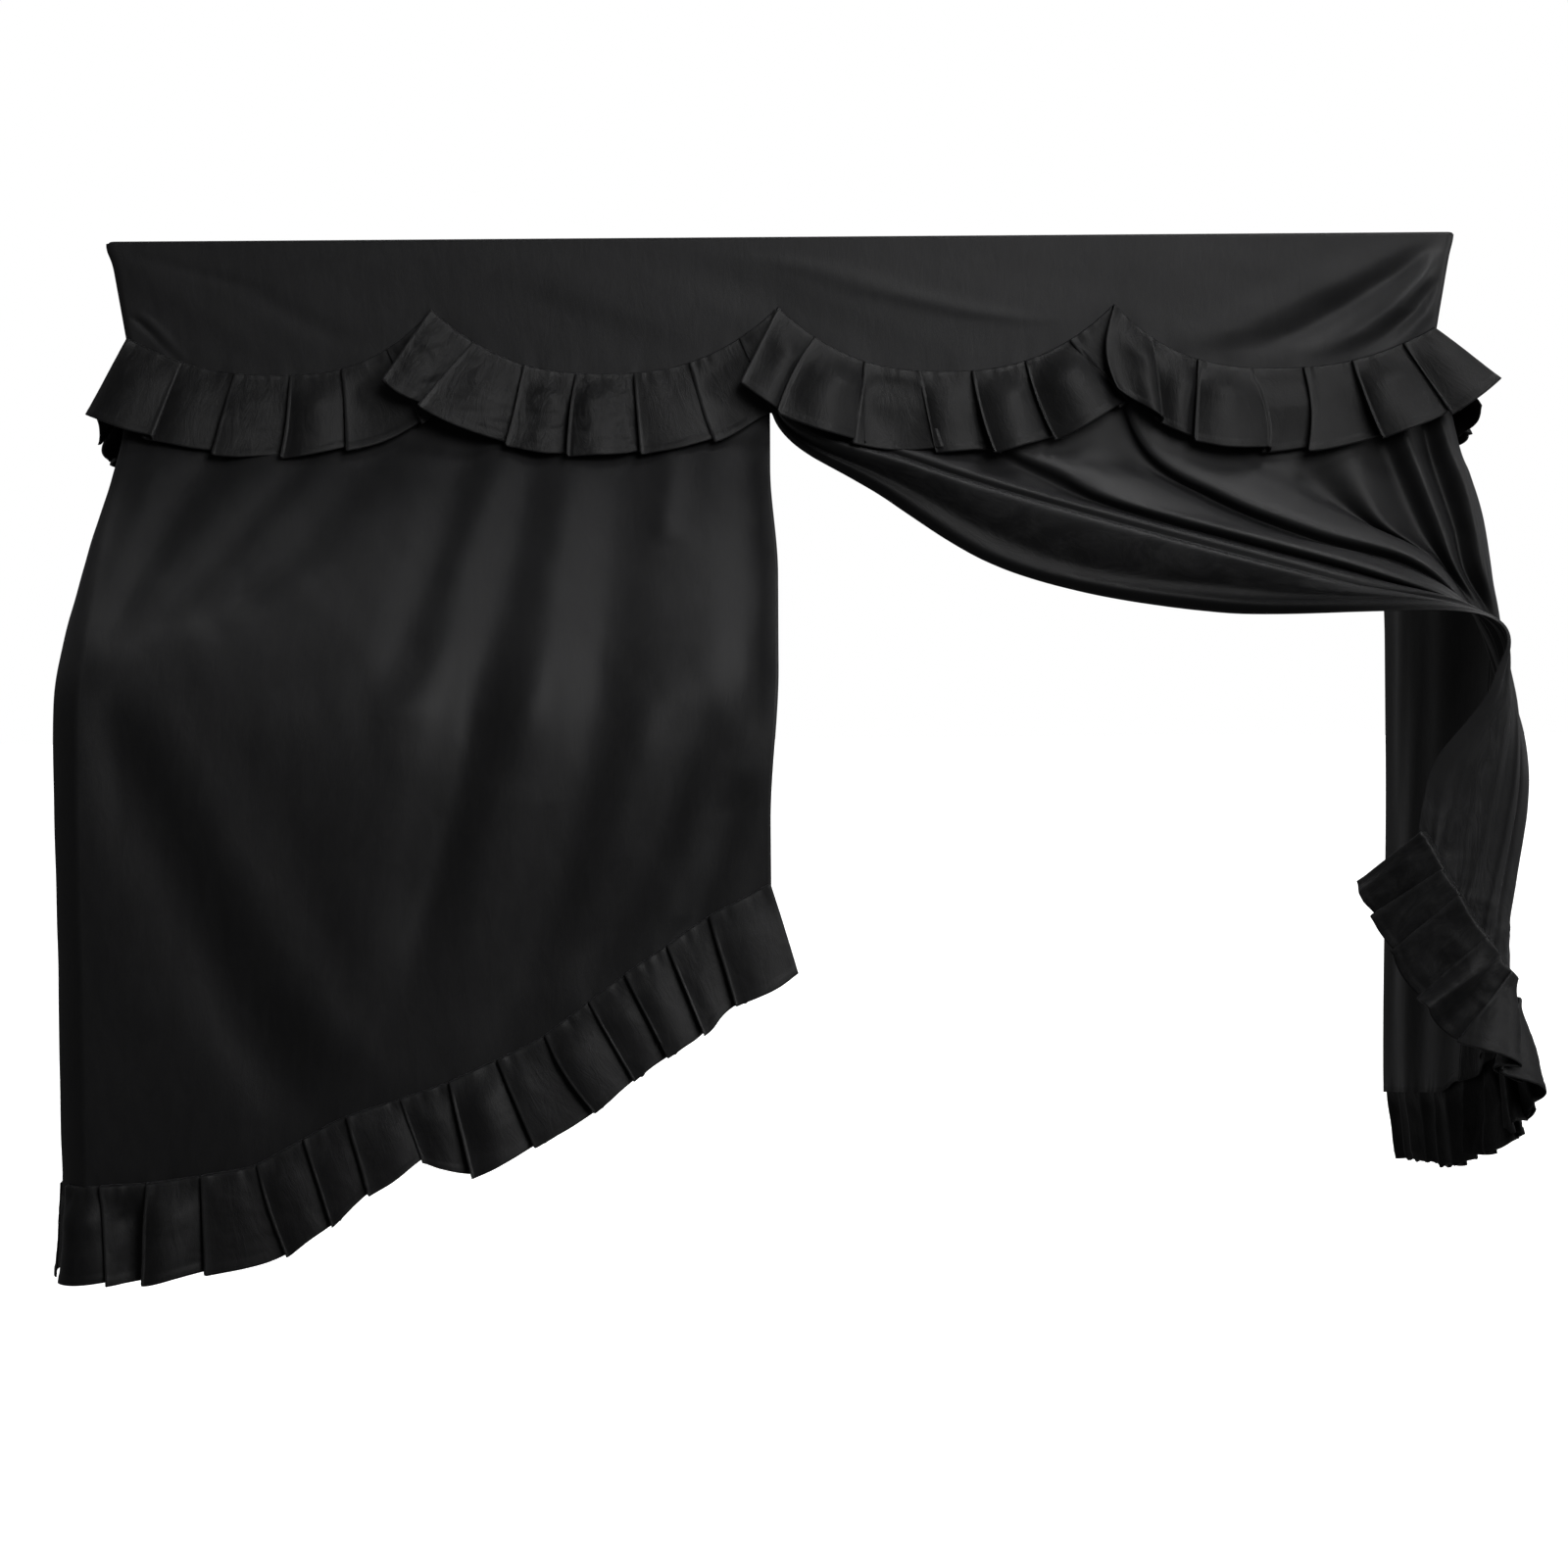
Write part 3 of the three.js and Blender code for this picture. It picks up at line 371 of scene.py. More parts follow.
def smooth(t):
    """Cubic step: 3t^2 - 2t^3 for t between 0 and 1."""
    t = np.clip(t, 0.0, 1.0)
    return t * t * (3 - 2 * t)


def rise(x, start, width):
    """Cubic step that goes from 0 at the start to 1 a width further on."""
    return smooth((x - start) / width)


def bell(x, centre, width):
    """e^(-d^2), with d the distance from the centre in widths."""
    return np.exp(-(((x - centre) / width) ** 2))


def soft_ramp(x, k):
    """k ln(1 + e^(x/k)): a straight ramp that starts softly."""
    return k * np.logaddexp(0, x / k)


def down_changes(z, changes, start=0.0):
    """Start value plus a cubic step down the height for each change: by how much, from how far
    below the top, over what drop."""
    for change, depth, drop in changes:
        start = start + change * rise(-z, depth, drop)
    return start


def through(rows, t):
    """Uniform Catmull-Rom curve through rows, at each t from 0 to 1."""
    rows = np.asarray(rows, float)
    last = len(rows) - 1
    place = np.clip(t, 0, 1) * last
    i = np.minimum(last - 1, np.floor(place).astype(int))
    f = (place - i).reshape((-1,) + (1,) * (rows.ndim - 1))
    b, c = rows[i], rows[i + 1]
    inner = (i > 0).reshape(f.shape)
    a = np.where(inner, rows[np.maximum(i - 1, 0)], 2 * b - c)
    inner = (i + 2 <= last).reshape(f.shape)
    d = np.where(inner, rows[np.minimum(i + 2, last)], 2 * c - b)
    return 0.5 * (
        2 * b + (c - a) * f + (2 * a - 5 * b + 4 * c - d) * f**2 + (3 * b - a - 3 * c + d) * f**3
    )


def value_noise(x, y, size, seed):
    """Random values on a lattice of the given size, blended by the cubic step, from -1 to 1."""
    columns, rows = 97, 89
    table = np.random.default_rng(seed).uniform(-1, 1, (columns, rows))
    gx, gy = x / size, y / size
    ix, iy = np.floor(gx).astype(int), np.floor(gy).astype(int)
    fx, fy = smooth(gx - ix), smooth(gy - iy)

    def corner(a, b):
        """Lattice value at a corner of each point's cell."""
        return table[np.mod(ix + a, columns), np.mod(iy + b, rows)]

    low = mix(corner(0, 0), corner(1, 0), fx)
    high = mix(corner(0, 1), corner(1, 1), fx)
    return mix(low, high, fy)


def crumple(x, y, size, seed):
    """Sharp-edged crumples: one minus twice the size of the noise, at two sizes."""
    wide = 1 - 2 * np.abs(value_noise(x, y, size, seed))
    fine = 1 - 2 * np.abs(value_noise(x + 0.6 * y, y - 0.3 * x, size * 0.47, seed + 1))
    return 0.65 * wide + 0.35 * fine


def unit(v):
    """Directions scaled to a length of one."""
    return v / np.maximum(np.linalg.norm(v, axis=-1, keepdims=True), 1e-9)


def grid_normals(grid):
    """Cross product of the steps down and across, at each point of a grid."""
    across = np.gradient(grid, axis=0)
    down = np.gradient(grid, axis=1)
    return unit(np.cross(down, across))


# ---- shape of the dressed cover ----
def front_y(z, soft=SLOPE_END_SOFT):
    """Depth position of the front: the wall, then a straight slope that starts and ends softly."""
    tuck = TUCK * (1 - smooth(-z / TUCK_DEPTH))
    run = soft_ramp(SLOPE_TOP - z, SLOPE_START_SOFT) - soft_ramp(SLOPE_END - z, soft)
    return SEAM_FRONT - tuck - SLOPE * run


def side_x(z):
    """Half width: pulled in under the lid, with a slight belly below it."""
    tuck = (TOP_HALF_WIDTH - SEAM_HALF_WIDTH) * (1 - smooth(-z / TUCK_DEPTH))
    return SEAM_HALF_WIDTH + tuck + down_changes(z, BELLY)


def back_corner_y(z):
    """Depth position where a side's cloth ends at the back, drawn in down the band."""
    return TOP_HALF_DEPTH - CORNER - TUCK * np.clip(-z / BAND_DROP, 0, 1)


def scallop(t):
    """How far a scallop has sunk at t from 0 to 1 of its run: 1 - |2t - 1|^2.5."""
    return 1 - np.abs(2 * t - 1) ** SCALLOP_POWER


def seam_z(x):
    """Height of the front's yoke seam: the chord of each scallop, sinking to its lowest height."""
    table = np.array(SCALLOPS, float)
    which = np.clip(np.searchsorted(table[:, 0], x, side="left") - 1, 0, len(table) - 1)
    start, end, first, last, lowest = np.moveaxis(table[which], -1, 0)
    t = np.clip((x - start) / (end - start), 0, 1)
    return mix(mix(first, last, t), lowest, scallop(t))


def side_seam_z(t):
    """Height of a side's yoke seam: one scallop."""
    return mix(SIDE_SEAM_END, SIDE_SEAM_LOW, scallop(t))


def hem_z(x):
    """Height of the left half's hem seam, straight between its points."""
    line = np.array(HEM_LINE, float)
    return np.interp(x, line[:, 0], line[:, 1])


def fold_height(folds, x, z):
    """Sum of folds: each is a bell across its path, fading out past the path's two ends."""
    past, fading = 0.12, 0.3
    total = np.zeros_like(x)
    for out, wide, path in folds:
        points = np.array(path, float)[::-1]
        top, end = points[-1, 1], points[0, 1]
        t = (z - top) / (end - top)
        fade = smooth((t + past) / fading) * smooth((1 + past - t) / fading)
        centre = np.interp(z, points[:, 1], points[:, 0])
        total += out * fade * bell(x, centre, wide)
    return total


def hem_pucker(along, z, bottom, height, seed):
    """Ripples drawn up by the hem seam, which die away above it as a square."""
    near = np.clip(1 - (z - bottom) / HEM_DRAW, 0, 1) ** 2
    return value_noise(along, 0 * z, 11.0, seed) * height * near


# ---- left front half ----
def left_grid(columns=210, arc=14, upper=108, lower=84):
    """Corner arc, then the front: x goes from the side to the centre edge, y is the front's
    depth less the folds, and z goes from the yoke seam to the ledge and on to the hem. Low
    down, the arc goes over into a straight chamfer."""
    fraction = np.concatenate([np.linspace(-1, 0, arc + 1)[:-1], np.linspace(0, 1, columns)])
    corner = fraction < 0
    seam_x = np.where(
        corner, LEFT_START + CORNER * fraction, mix(LEFT_START, CENTRE_EDGE, fraction)
    )
    top = (seam_z(seam_x) - BUTT / 2)[:, None]
    hem_x = np.where(corner, HEM_LINE[0][0], mix(HEM_FROM, HEM_TO, fraction))
    bottom = (hem_z(hem_x) - HEM_TUCK)[:, None]
    to_ledge = np.linspace(0, 1, upper + 1)
    to_hem = np.linspace(0, 1, lower + 1)[1:]
    z = np.concatenate(
        [mix(top, LEDGE_LEVEL, to_ledge[None]), mix(LEDGE_LEVEL, bottom, to_hem[None])], axis=1
    )
    f = np.broadcast_to(fraction[:, None], z.shape)
    soft = mix(SLOPE_END_SOFT, CENTRE_SOFT, smooth(f * 1.6))
    radius = down_changes(z, CORNER_GROWTH, CORNER)
    side, front = -side_x(z), front_y(z, soft)
    turn = np.clip(-f, 0, 1)
    angle = turn * (np.pi / 2)
    chamfer = 0.8 * rise(-z, 330, 180)
    arc_x = side + radius * (1 - mix(np.sin(angle), turn, chamfer))
    arc_y = front + radius * mix(1 - np.cos(angle), turn, chamfer)
    x = mix(side + radius, down_changes(z, CENTRE_BOW, CENTRE_EDGE), np.clip(f, 0, 1))
    below_ruffle = rise(seam_z(x) - z, 40, 60)
    off_edges = smooth(f / 0.06) * smooth((1 - f) / 0.03)
    height = below_ruffle * off_edges * fold_height(LEFT_FOLDS, x, z)
    x = np.where(f < 0, arc_x, x)
    y = np.where(f < 0, arc_y, front - height)
    return dress(np.stack([x, y, z], axis=-1), bottom, seed=11)


def dress(grid, bottom, seed):
    """Adds what hanging cloth does between its main folds: long soft waves, shorter faint
    ones, and puckers drawn up by the hem seam."""
    x, z = grid[..., 0] + 0.7 * grid[..., 1], grid[..., 2]
    size, height = LONG_WAVE
    sag = value_noise(x + 0.25 * z, z * 0.3, size, seed) * height
    size, height = SHORT_WAVE
    sag += value_noise(x, z * 0.6, size, seed + 3) * height
    pucker = hem_pucker(x, z, bottom, 1.3, seed + 5)
    off_seam = rise(grid[:, :1, 2] - z, 0, 60)
    return grid + grid_normals(grid) * (sag * off_seam + pucker)[..., None]


# ---- right front half ----
def sweep_lines():
    """Stations of each line: seam, four points of the slope, gather, shoulder, drop, waist and
    hem. The slope leans forward with depth, less so for the upper lines, and the three lines
    below the lowest crest lean as far as it does. A bent line halfway to the corner seam and
    the corner seam itself come last."""
    table = np.array([[row[0], *sum(row[1:5], ()), row[5]] for row in SWEEP], float)
    seam_x, x, z, out = table[:, 0], table[:, 1:9:2], table[:, 2:10:2], table[:, 9:]
    swing = np.linspace(0, 1, len(table))[:, None]
    lean_z, lean = np.array(SLOPE_LEAN, float).T
    level = np.concatenate([np.repeat(z[3:4], 3, axis=0), z[3:]])
    forward = np.interp(level, lean_z, lean) * (1 - LEAN_LOSS * swing)
    forward = forward + out * np.array([SLOPE_SHARES])
    slope = np.stack([x, SEAM_FRONT - forward, z], axis=-1)
    seam = np.stack(
        [seam_x, np.full(len(table), SEAM_FRONT), seam_z(seam_x) - BUTT / 2], axis=-1
    )
    rows = np.array(TAIL, float)
    place = np.linspace(0, len(rows) - 1, len(table))
    known = np.arange(len(rows))
    tail = np.stack([
        np.stack([np.interp(place, known, rows[:, j, k]) for k in range(3)], axis=-1)
        for j in range(rows.shape[1])
    ], axis=1)
    stand = np.array(TAIL_SHARES)[None, :, None] * out[:, :, None]
    tail = tail + stand * np.array(TAIL_OUT)
    lines = np.concatenate([seam[:, None], slope, tail], axis=1)
    corner = np.array(RIGHT_CORNER, float)
    corner[0, 2] -= BUTT / 2
    bulge = np.tile((5.0, -3.0, 0.0), (len(corner), 1))
    bulge[0] = (6.0, -3.5, 0.0)
    bend = 0.5 * (corner + lines[-1]) + bulge
    return np.concatenate([lines, bend[None], corner[None]])


def gather_ridges(swing, fall, station, room):
    """Fine gathers: cosine ridges across the lines, narrowed by a power. They fade in where the
    cloth is pinched on the key arm, run on down the tail and are lower where it is narrow."""
    wake = rise(station, 2.8, 1.6) * smooth(swing / 0.05) * smooth((0.92 - swing) / 0.08)
    drift = value_noise(swing * 9, fall * 5, 1.0, 31)
    ridges = np.zeros_like(swing)
    for count, height, phase in GATHERS:
        wave = 0.5 + 0.5 * np.cos(2 * np.pi * (count * swing + 0.6 * drift) + phase)
        ridges += height * (wave**1.7 - 0.4)
    return wake * room**0.7 * ridges


def sweep_pile_and_light(swing, station, tail):
    """Crush, press and painted light of the swept half. The pile is crushed below the lowest crest
    and on the tail. Press, a painted highlight that also makes the pile less rough, lies on the
    slope's crests, on the tail and along the free edge. Painted shade darkens the band at the free
    edge, the strip near the corner and the pinch, and painted light brightens the tail and the
    slope's strip along the side."""
    below = bell(swing, 0.125, 0.055) * rise(station, 1, 1)
    crush = 0.08 + 0.5 * below * (1 - tail) + 0.55 * tail

    crests = np.array([row[5] for row in SWEEP] + [0, 0], float)
    crest = np.interp(swing, np.linspace(0, 1, len(crests)), crests)
    # press: painted highlight on the slope's crests, on the tail and along the free edge
    press = 0.6 * np.clip((crest + 1) / 11, 0, 1) * rise(station, 0.5, 0.8)
    press = press * rise(swing, 0.1, 0.08) * (1 - rise(station, 4.6, 0.6))
    press += 0.4 * rise(station, 5.2, 0.8) * (1 - rise(station, 8.0, 0.7))
    press = np.maximum(press, 0.45 * (1 - smooth(swing / 0.02)) * smooth(station))

    # painted shade in the band at the free edge, near the corner and in the pinch; painted light on
    # the tail and along the side
    slope = 1 - rise(station, 4.6, 0.8)
    band = (1 - rise(swing, 0.1, 0.04)) * smooth(swing / 0.012)
    upper = rise(swing, 0.58, 0.08) * (1 - rise(swing, 0.86, 0.06))
    nap = 1 - slope * (0.5 * band + 0.5 * upper) - 0.25 * bell(station, 4.7, 0.9)
    nap += 0.4 * rise(station, 5.4, 0.8) + 0.5 * slope * rise(swing, 0.885, 0.04)
    return {"crush": crush, "press": press, "nap": nap}


def right_grid(across=11, down=22):
    """Catmull-Rom surface through the sweep's lines, with gathers, a fine unevenness and the
    tail's crumples raised along its normals. Swing goes from 0 at the free edge to 1 at the
    side, and station counts the points of a line from 0 at the seam to 9 at the hem."""
    lines = sweep_lines()
    stations = lines.shape[1] - 1
    u = np.linspace(0, 1, (len(lines) - 1) * across + 1)
    v = np.linspace(0, 1, stations * down + 1)
    long = through(lines.transpose(1, 0, 2), v).transpose(1, 0, 2)
    grid = through(long, u)
    top = grid[:, 0]
    straight = top[:, 0] < STRAIGHT_SEAM_END
    top[straight, 2] = seam_z(top[straight, 0]) - BUTT / 2
    top[straight, 1] = SEAM_FRONT
    swing, fall = np.meshgrid(u, v, indexing="ij")
    station = fall * stations
    spread = np.linalg.norm(np.gradient(grid, axis=0), axis=-1) * (len(u) - 1)
    room = np.clip(spread / 650.0, 0.12, 1.0)
    tail = rise(station, 7.2, 1.2)
    x, y, z = np.moveaxis(grid, -1, 0)
    grain = value_noise(x + y, z, 23.0, 41) * 0.4
    lift = gather_ridges(swing, fall, station, room) + grain * rise(station, 0.3, 0.7)
    rough = crumple(x + 0.8 * y, z, 34.0, 43) * tail
    grid = grid + grid_normals(grid) * (lift + 1.6 * rough)[..., None]
    return grid, sweep_pile_and_light(swing, station, tail)


# ---- yoke, top and back band ----
def ring_above(low):
    """Point of the top ring straight above each point of the seam."""
    reach = np.abs(low[..., 0]) - INNER_SEAM
    angle = np.arctan2(reach, -(low[..., 1] - SEAM_FRONT - CORNER))
    turned = reach > 0
    corner_x = np.sign(low[..., 0]) * (INNER_TOP + CORNER * np.sin(angle))
    x = np.where(turned, corner_x, low[..., 0] * INNER_TOP / INNER_SEAM)
    y = np.where(turned, -TOP_HALF_DEPTH + CORNER * (1 - np.cos(angle)), -TOP_HALF_DEPTH)
    return np.stack([x, y, np.full_like(x, TOP_EDGE)], axis=-1)


def corner_ear(grid):
    """Pulls the cloth out to a small point at the two upper front corners, as a bell."""
    for sign, height in ((-1, 5.0), (1, 2.0)):
        tip = np.array([sign * TOP_HALF_WIDTH, -TOP_HALF_DEPTH, -6.0])
        far = np.linalg.norm(grid - tip, axis=-1)
        pull = bell(far, 0, 13.0) * height
        grid = grid + pull[..., None] * np.array([sign * 0.9, -0.3, -0.15])
    return grid


def yoke_front_grid(rows=70, columns=280):
    """Straight lines from the seam up to the top ring, pushed out by the folds and by noise,
    which die away at both edges as a power of the sine, and puckered at the seam."""
    angle = np.linspace(np.pi / 2, 0, 13)[:-1]
    arc_x = INNER_SEAM + CORNER * np.sin(angle)
    arc_y = SEAM_FRONT + CORNER * (1 - np.cos(angle))
    x = np.concatenate([-arc_x, np.linspace(-INNER_SEAM, INNER_SEAM, columns), arc_x[::-1]])
    y = np.concatenate([arc_y, np.full(columns, SEAM_FRONT), arc_y[::-1]])
    low = np.stack([x, y, seam_z(np.clip(x, -SEAM_HALF_WIDTH, SEAM_HALF_WIDTH)) + BUTT / 2], -1)
    high = ring_above(low)
    t = np.linspace(0, 1, rows + 1)[None]
    grid = mix(high[:, None], low[:, None], t[..., None])
    calm = np.sin(np.pi * t) ** 1.2 * smooth((742 - np.abs(grid[..., 0])) / 22)
    height = fold_height(YOKE_FOLDS, grid[..., 0], grid[..., 2])
    waves = value_noise(grid[..., 0] + 2.2 * grid[..., 2], grid[..., 2], 85.0, 51) * 0.9
    grid[..., 1] -= calm * (height + waves)
    pucker = value_noise(grid[..., 0], 0 * grid[..., 2], 13.0, 53) * np.clip(t * 3 - 2, 0, 1) ** 2
    grid[..., 1] -= 0.9 * pucker
    return corner_ear(grid)


def yoke_side_grid(sign, columns=70, rows=60):
    """Upper strip of a side, from the front corner to the back corner, bowed by noise that
    dies away at its edges as a sine."""
    t = np.linspace(0, 1, columns + 1)[:, None]
    w = np.linspace(0, 1, rows + 1)[None]
    corner_z = float(seam_z(sign * SEAM_HALF_WIDTH))
    low = mix(corner_z + BUTT / 2, side_seam_z(t) + BUTT / 2, smooth(t * 4))
    z = mix(TOP_EDGE, low, w)
    front = mix(-TOP_HALF_DEPTH, SEAM_FRONT, w) + CORNER
    y = mix(front, back_corner_y(z), t)
    bow = value_noise(y, z * 0.5, 55.0, 61 + sign) * 1.6
    x = mix(TOP_HALF_WIDTH, SEAM_HALF_WIDTH, w)
    x = x + bow * np.sin(np.pi * w) * np.sin(np.pi * t)
    grid = np.stack(np.broadcast_arrays(sign * x, y, z), axis=-1)
    return corner_ear(grid)


def band_grid(rows=46, columns=220, arc=12):
    """Plain band across the back, with its two rounded corners, hemmed at its lower edge."""
    before, after = np.linspace(1, 0, arc + 1)[:-1], -np.linspace(0, 1, arc + 1)[1:]
    angle = np.concatenate([before, np.zeros(columns), after]) * (np.pi / 2)
    along = np.concatenate([np.ones(arc), np.linspace(1, -1, columns), -np.ones(arc)])
    w = np.linspace(0, 1, rows + 1)[None]
    z = mix(TOP_EDGE, -BAND_DROP, w)
    half = mix(TOP_HALF_WIDTH, SEAM_HALF_WIDTH, np.minimum(1, w * 1.4))
    x = along[:, None] * (half - CORNER) + CORNER * np.sin(angle)[:, None]
    y = back_corner_y(z) + CORNER * np.cos(angle)[:, None]
    hang = value_noise(x, z * 0.35, 120.0, 71) * 3.0 * w * np.cos(angle)[:, None] ** 4
    hem = 0.9 * rise(w, 0.9, 0.02)
    return np.stack(np.broadcast_arrays(x, y + hang + hem, z), axis=-1)


def top_outline(counts=(120, 34, 120, 34), steps=9):
    """Rounded outline of the flat top: a quarter circle at each corner and a straight side
    after it."""
    cx, cy = TOP_HALF_WIDTH - TOP_CORNER, TOP_HALF_DEPTH - TOP_CORNER
    quarter = np.linspace(0, 1, steps) * np.pi / 2
    arcs = []
    for turn, (sx, sy) in enumerate(((1, 1), (-1, 1), (-1, -1), (1, -1))):
        a = quarter + turn * np.pi / 2
        arcs.append(
            np.stack([sx * cx + TOP_CORNER * np.cos(a), sy * cy + TOP_CORNER * np.sin(a)], -1)
        )
    parts = []
    for turn, count in enumerate(counts):
        share = np.linspace(0, 1, count + 1)[1:-1, None]
        parts += [arcs[turn], mix(arcs[turn][-1], arcs[(turn + 1) % 4][0], share)]
    return np.concatenate(parts)


def top_grid(rings=26):
    """Rings that shrink from the rounded outline to the middle line. The outermost rings roll
    over the edge: a quarter circle down to the walls."""
    ring = top_outline()
    ends = TOP_HALF_WIDTH - TOP_HALF_DEPTH
    middle = np.stack([np.clip(ring[:, 0], -ends, ends), 0 * ring[:, 0]], -1)
    roll = np.linspace(0, 1, 7)[:, None] * np.pi / 2
    rim = ring[None] + unit(middle - ring)[None] * (TOP_ROLL * (1 - np.sin(roll)))[..., None]
    rim_z = np.broadcast_to(TOP_ROLL * (np.cos(roll) - 1) + TOP_LIFT, rim.shape[:2])
    share = np.linspace(0, 1, rings + 1)[1:, None]
    flat = mix(rim[:1], middle[None], share[..., None])
    uneven = value_noise(flat[..., 0], flat[..., 1], 90.0, 81) * 0.5 * smooth(share * 3)
    plan = np.concatenate([rim[::-1], flat])
    height = np.concatenate([rim_z[::-1], TOP_LIFT + uneven])
    return np.concatenate([plan, height[..., None]], axis=-1).transpose(1, 0, 2)


# ---- sides below the yoke ----
def side_grid(sign, front, columns=84):
    """Hangs from the side seam. Its first column is the edge of the front half. Depth goes
    from there to the back, and the width follows the side's belly with a travelling sine wave
    and softer uneven folds."""
    t = np.linspace(0, 1, columns + 1)[:, None]
    start_x, start_y, start_z = np.abs(front[None, :, 0]), front[None, :, 1], front[None, :, 2]
    hem_front, hem_back = SIDE_HEMS[sign]
    top = mix(front[0, 2] + BUTT / 2, side_seam_z(t), smooth(t * 4)) - BUTT
    bottom = mix(hem_front, hem_back, t) - HEM_TUCK
    w = ((front[:, 2] - front[0, 2]) / (front[-1, 2] - front[0, 2]))[None]
    z = mix(start_z, mix(top, bottom, w), smooth(t * 5))
    y = mix(start_y, back_corner_y(z) - BUTT, t)
    spread = smooth(w * 3)
    wave = SIDE_WAVE * spread * np.sin(t * 15 + 1.5 * w) * np.sin(np.pi * t)
    folds = value_noise(y + 0.1 * z, z * 0.16, 46.0, 91 + sign)
    wave = wave + SIDE_FOLD * spread * np.sin(np.pi * t) * folds
    x = mix(start_x, side_x(z) + SIDE_BELLY * spread, smooth(t * 1.6)) + wave
    grid = np.stack(np.broadcast_arrays(sign * x, y, z), axis=-1)
    grid[..., 0] += sign * hem_pucker(y, z, bottom, 1.2, 95)
    return grid


def hung_grids():
    """Grids of the two front halves and the two sides, and the pile values and painted light of the
    swept half.
    """
    left, (right, pile) = left_grid(), right_grid()
    grids = {
        "front_left_panel": left,
        "front_right_panel": right,
        "side_left_panel": side_grid(-1, left[0]),
        "side_right_panel": side_grid(1, right[-1]),
    }
    return grids, pile


# ---- pleated ruffles ----
def pleat_columns(pleats, panel=24, back=7):
    """Cross-section of the pleats, as arrays over the columns: place along the seam, how far the
    column turns under the next fold, height, bulge, place and peak in the panel, sideways bend,
    crush, and press, a painted highlight. A panel falls from its folded edge to its far edge as 1 -
    q^1.6, and the cloth then runs back to the next folded edge. The painted highlight gathers at
    the edges of the higher folds."""
    table = np.array(pleats, float)[:, :DEPTH]
    q = np.linspace(0, 1, panel)
    q = 0.5 * (q**1.5 + 1 - (1 - q) ** 1.25)
    r = np.linspace(0, 1, back + 1)[1:-1]
    parts = []
    for k in range(len(table) - 1):
        here, after = table[k], table[k + 1]
        final = k == len(table) - 2
        end = here[FAR] + (after[FOLD] * 0.5 if final else 0.0)
        fold = np.exp(-((q * EDGE_SHARPNESS) ** 2)) * np.clip(here[FOLD] / FULL_FOLD, 0, 1)
        far = np.exp(-(((1 - q) * EDGE_SHARPNESS) ** 2)) * np.clip(here[FAR] / FULL_FOLD, 0, 1)
        height = mix(end, here[FOLD], 1 - q**PANEL_POWER) + 1.5 * fold + 1.2 * far
        bend = here[BEND] * (1 - q) ** 2 + after[BEND] * q**2
        parts.append(np.stack([
            mix(here[PLACE], after[PLACE], q), q * (not final), height, 0 * q + here[BULGE], q,
            0 * q + here[PEAK], bend, 0 * q + here[CRUSH], fold + far,
        ], axis=-1))
        if not final:
            parts.append(np.stack([
                0 * r + after[PLACE], 1 - r, mix(here[FAR], after[FOLD], r**0.7), 0 * r, r > 0.5,
                0 * r + 0.5, 0 * r + after[BEND], 0 * r + after[CRUSH], 0 * r,
            ], axis=-1))
    columns = np.concatenate(parts)
    columns[1:-1] = 0.25 * columns[:-2] + 0.5 * columns[1:-1] + 0.25 * columns[2:]
    return columns


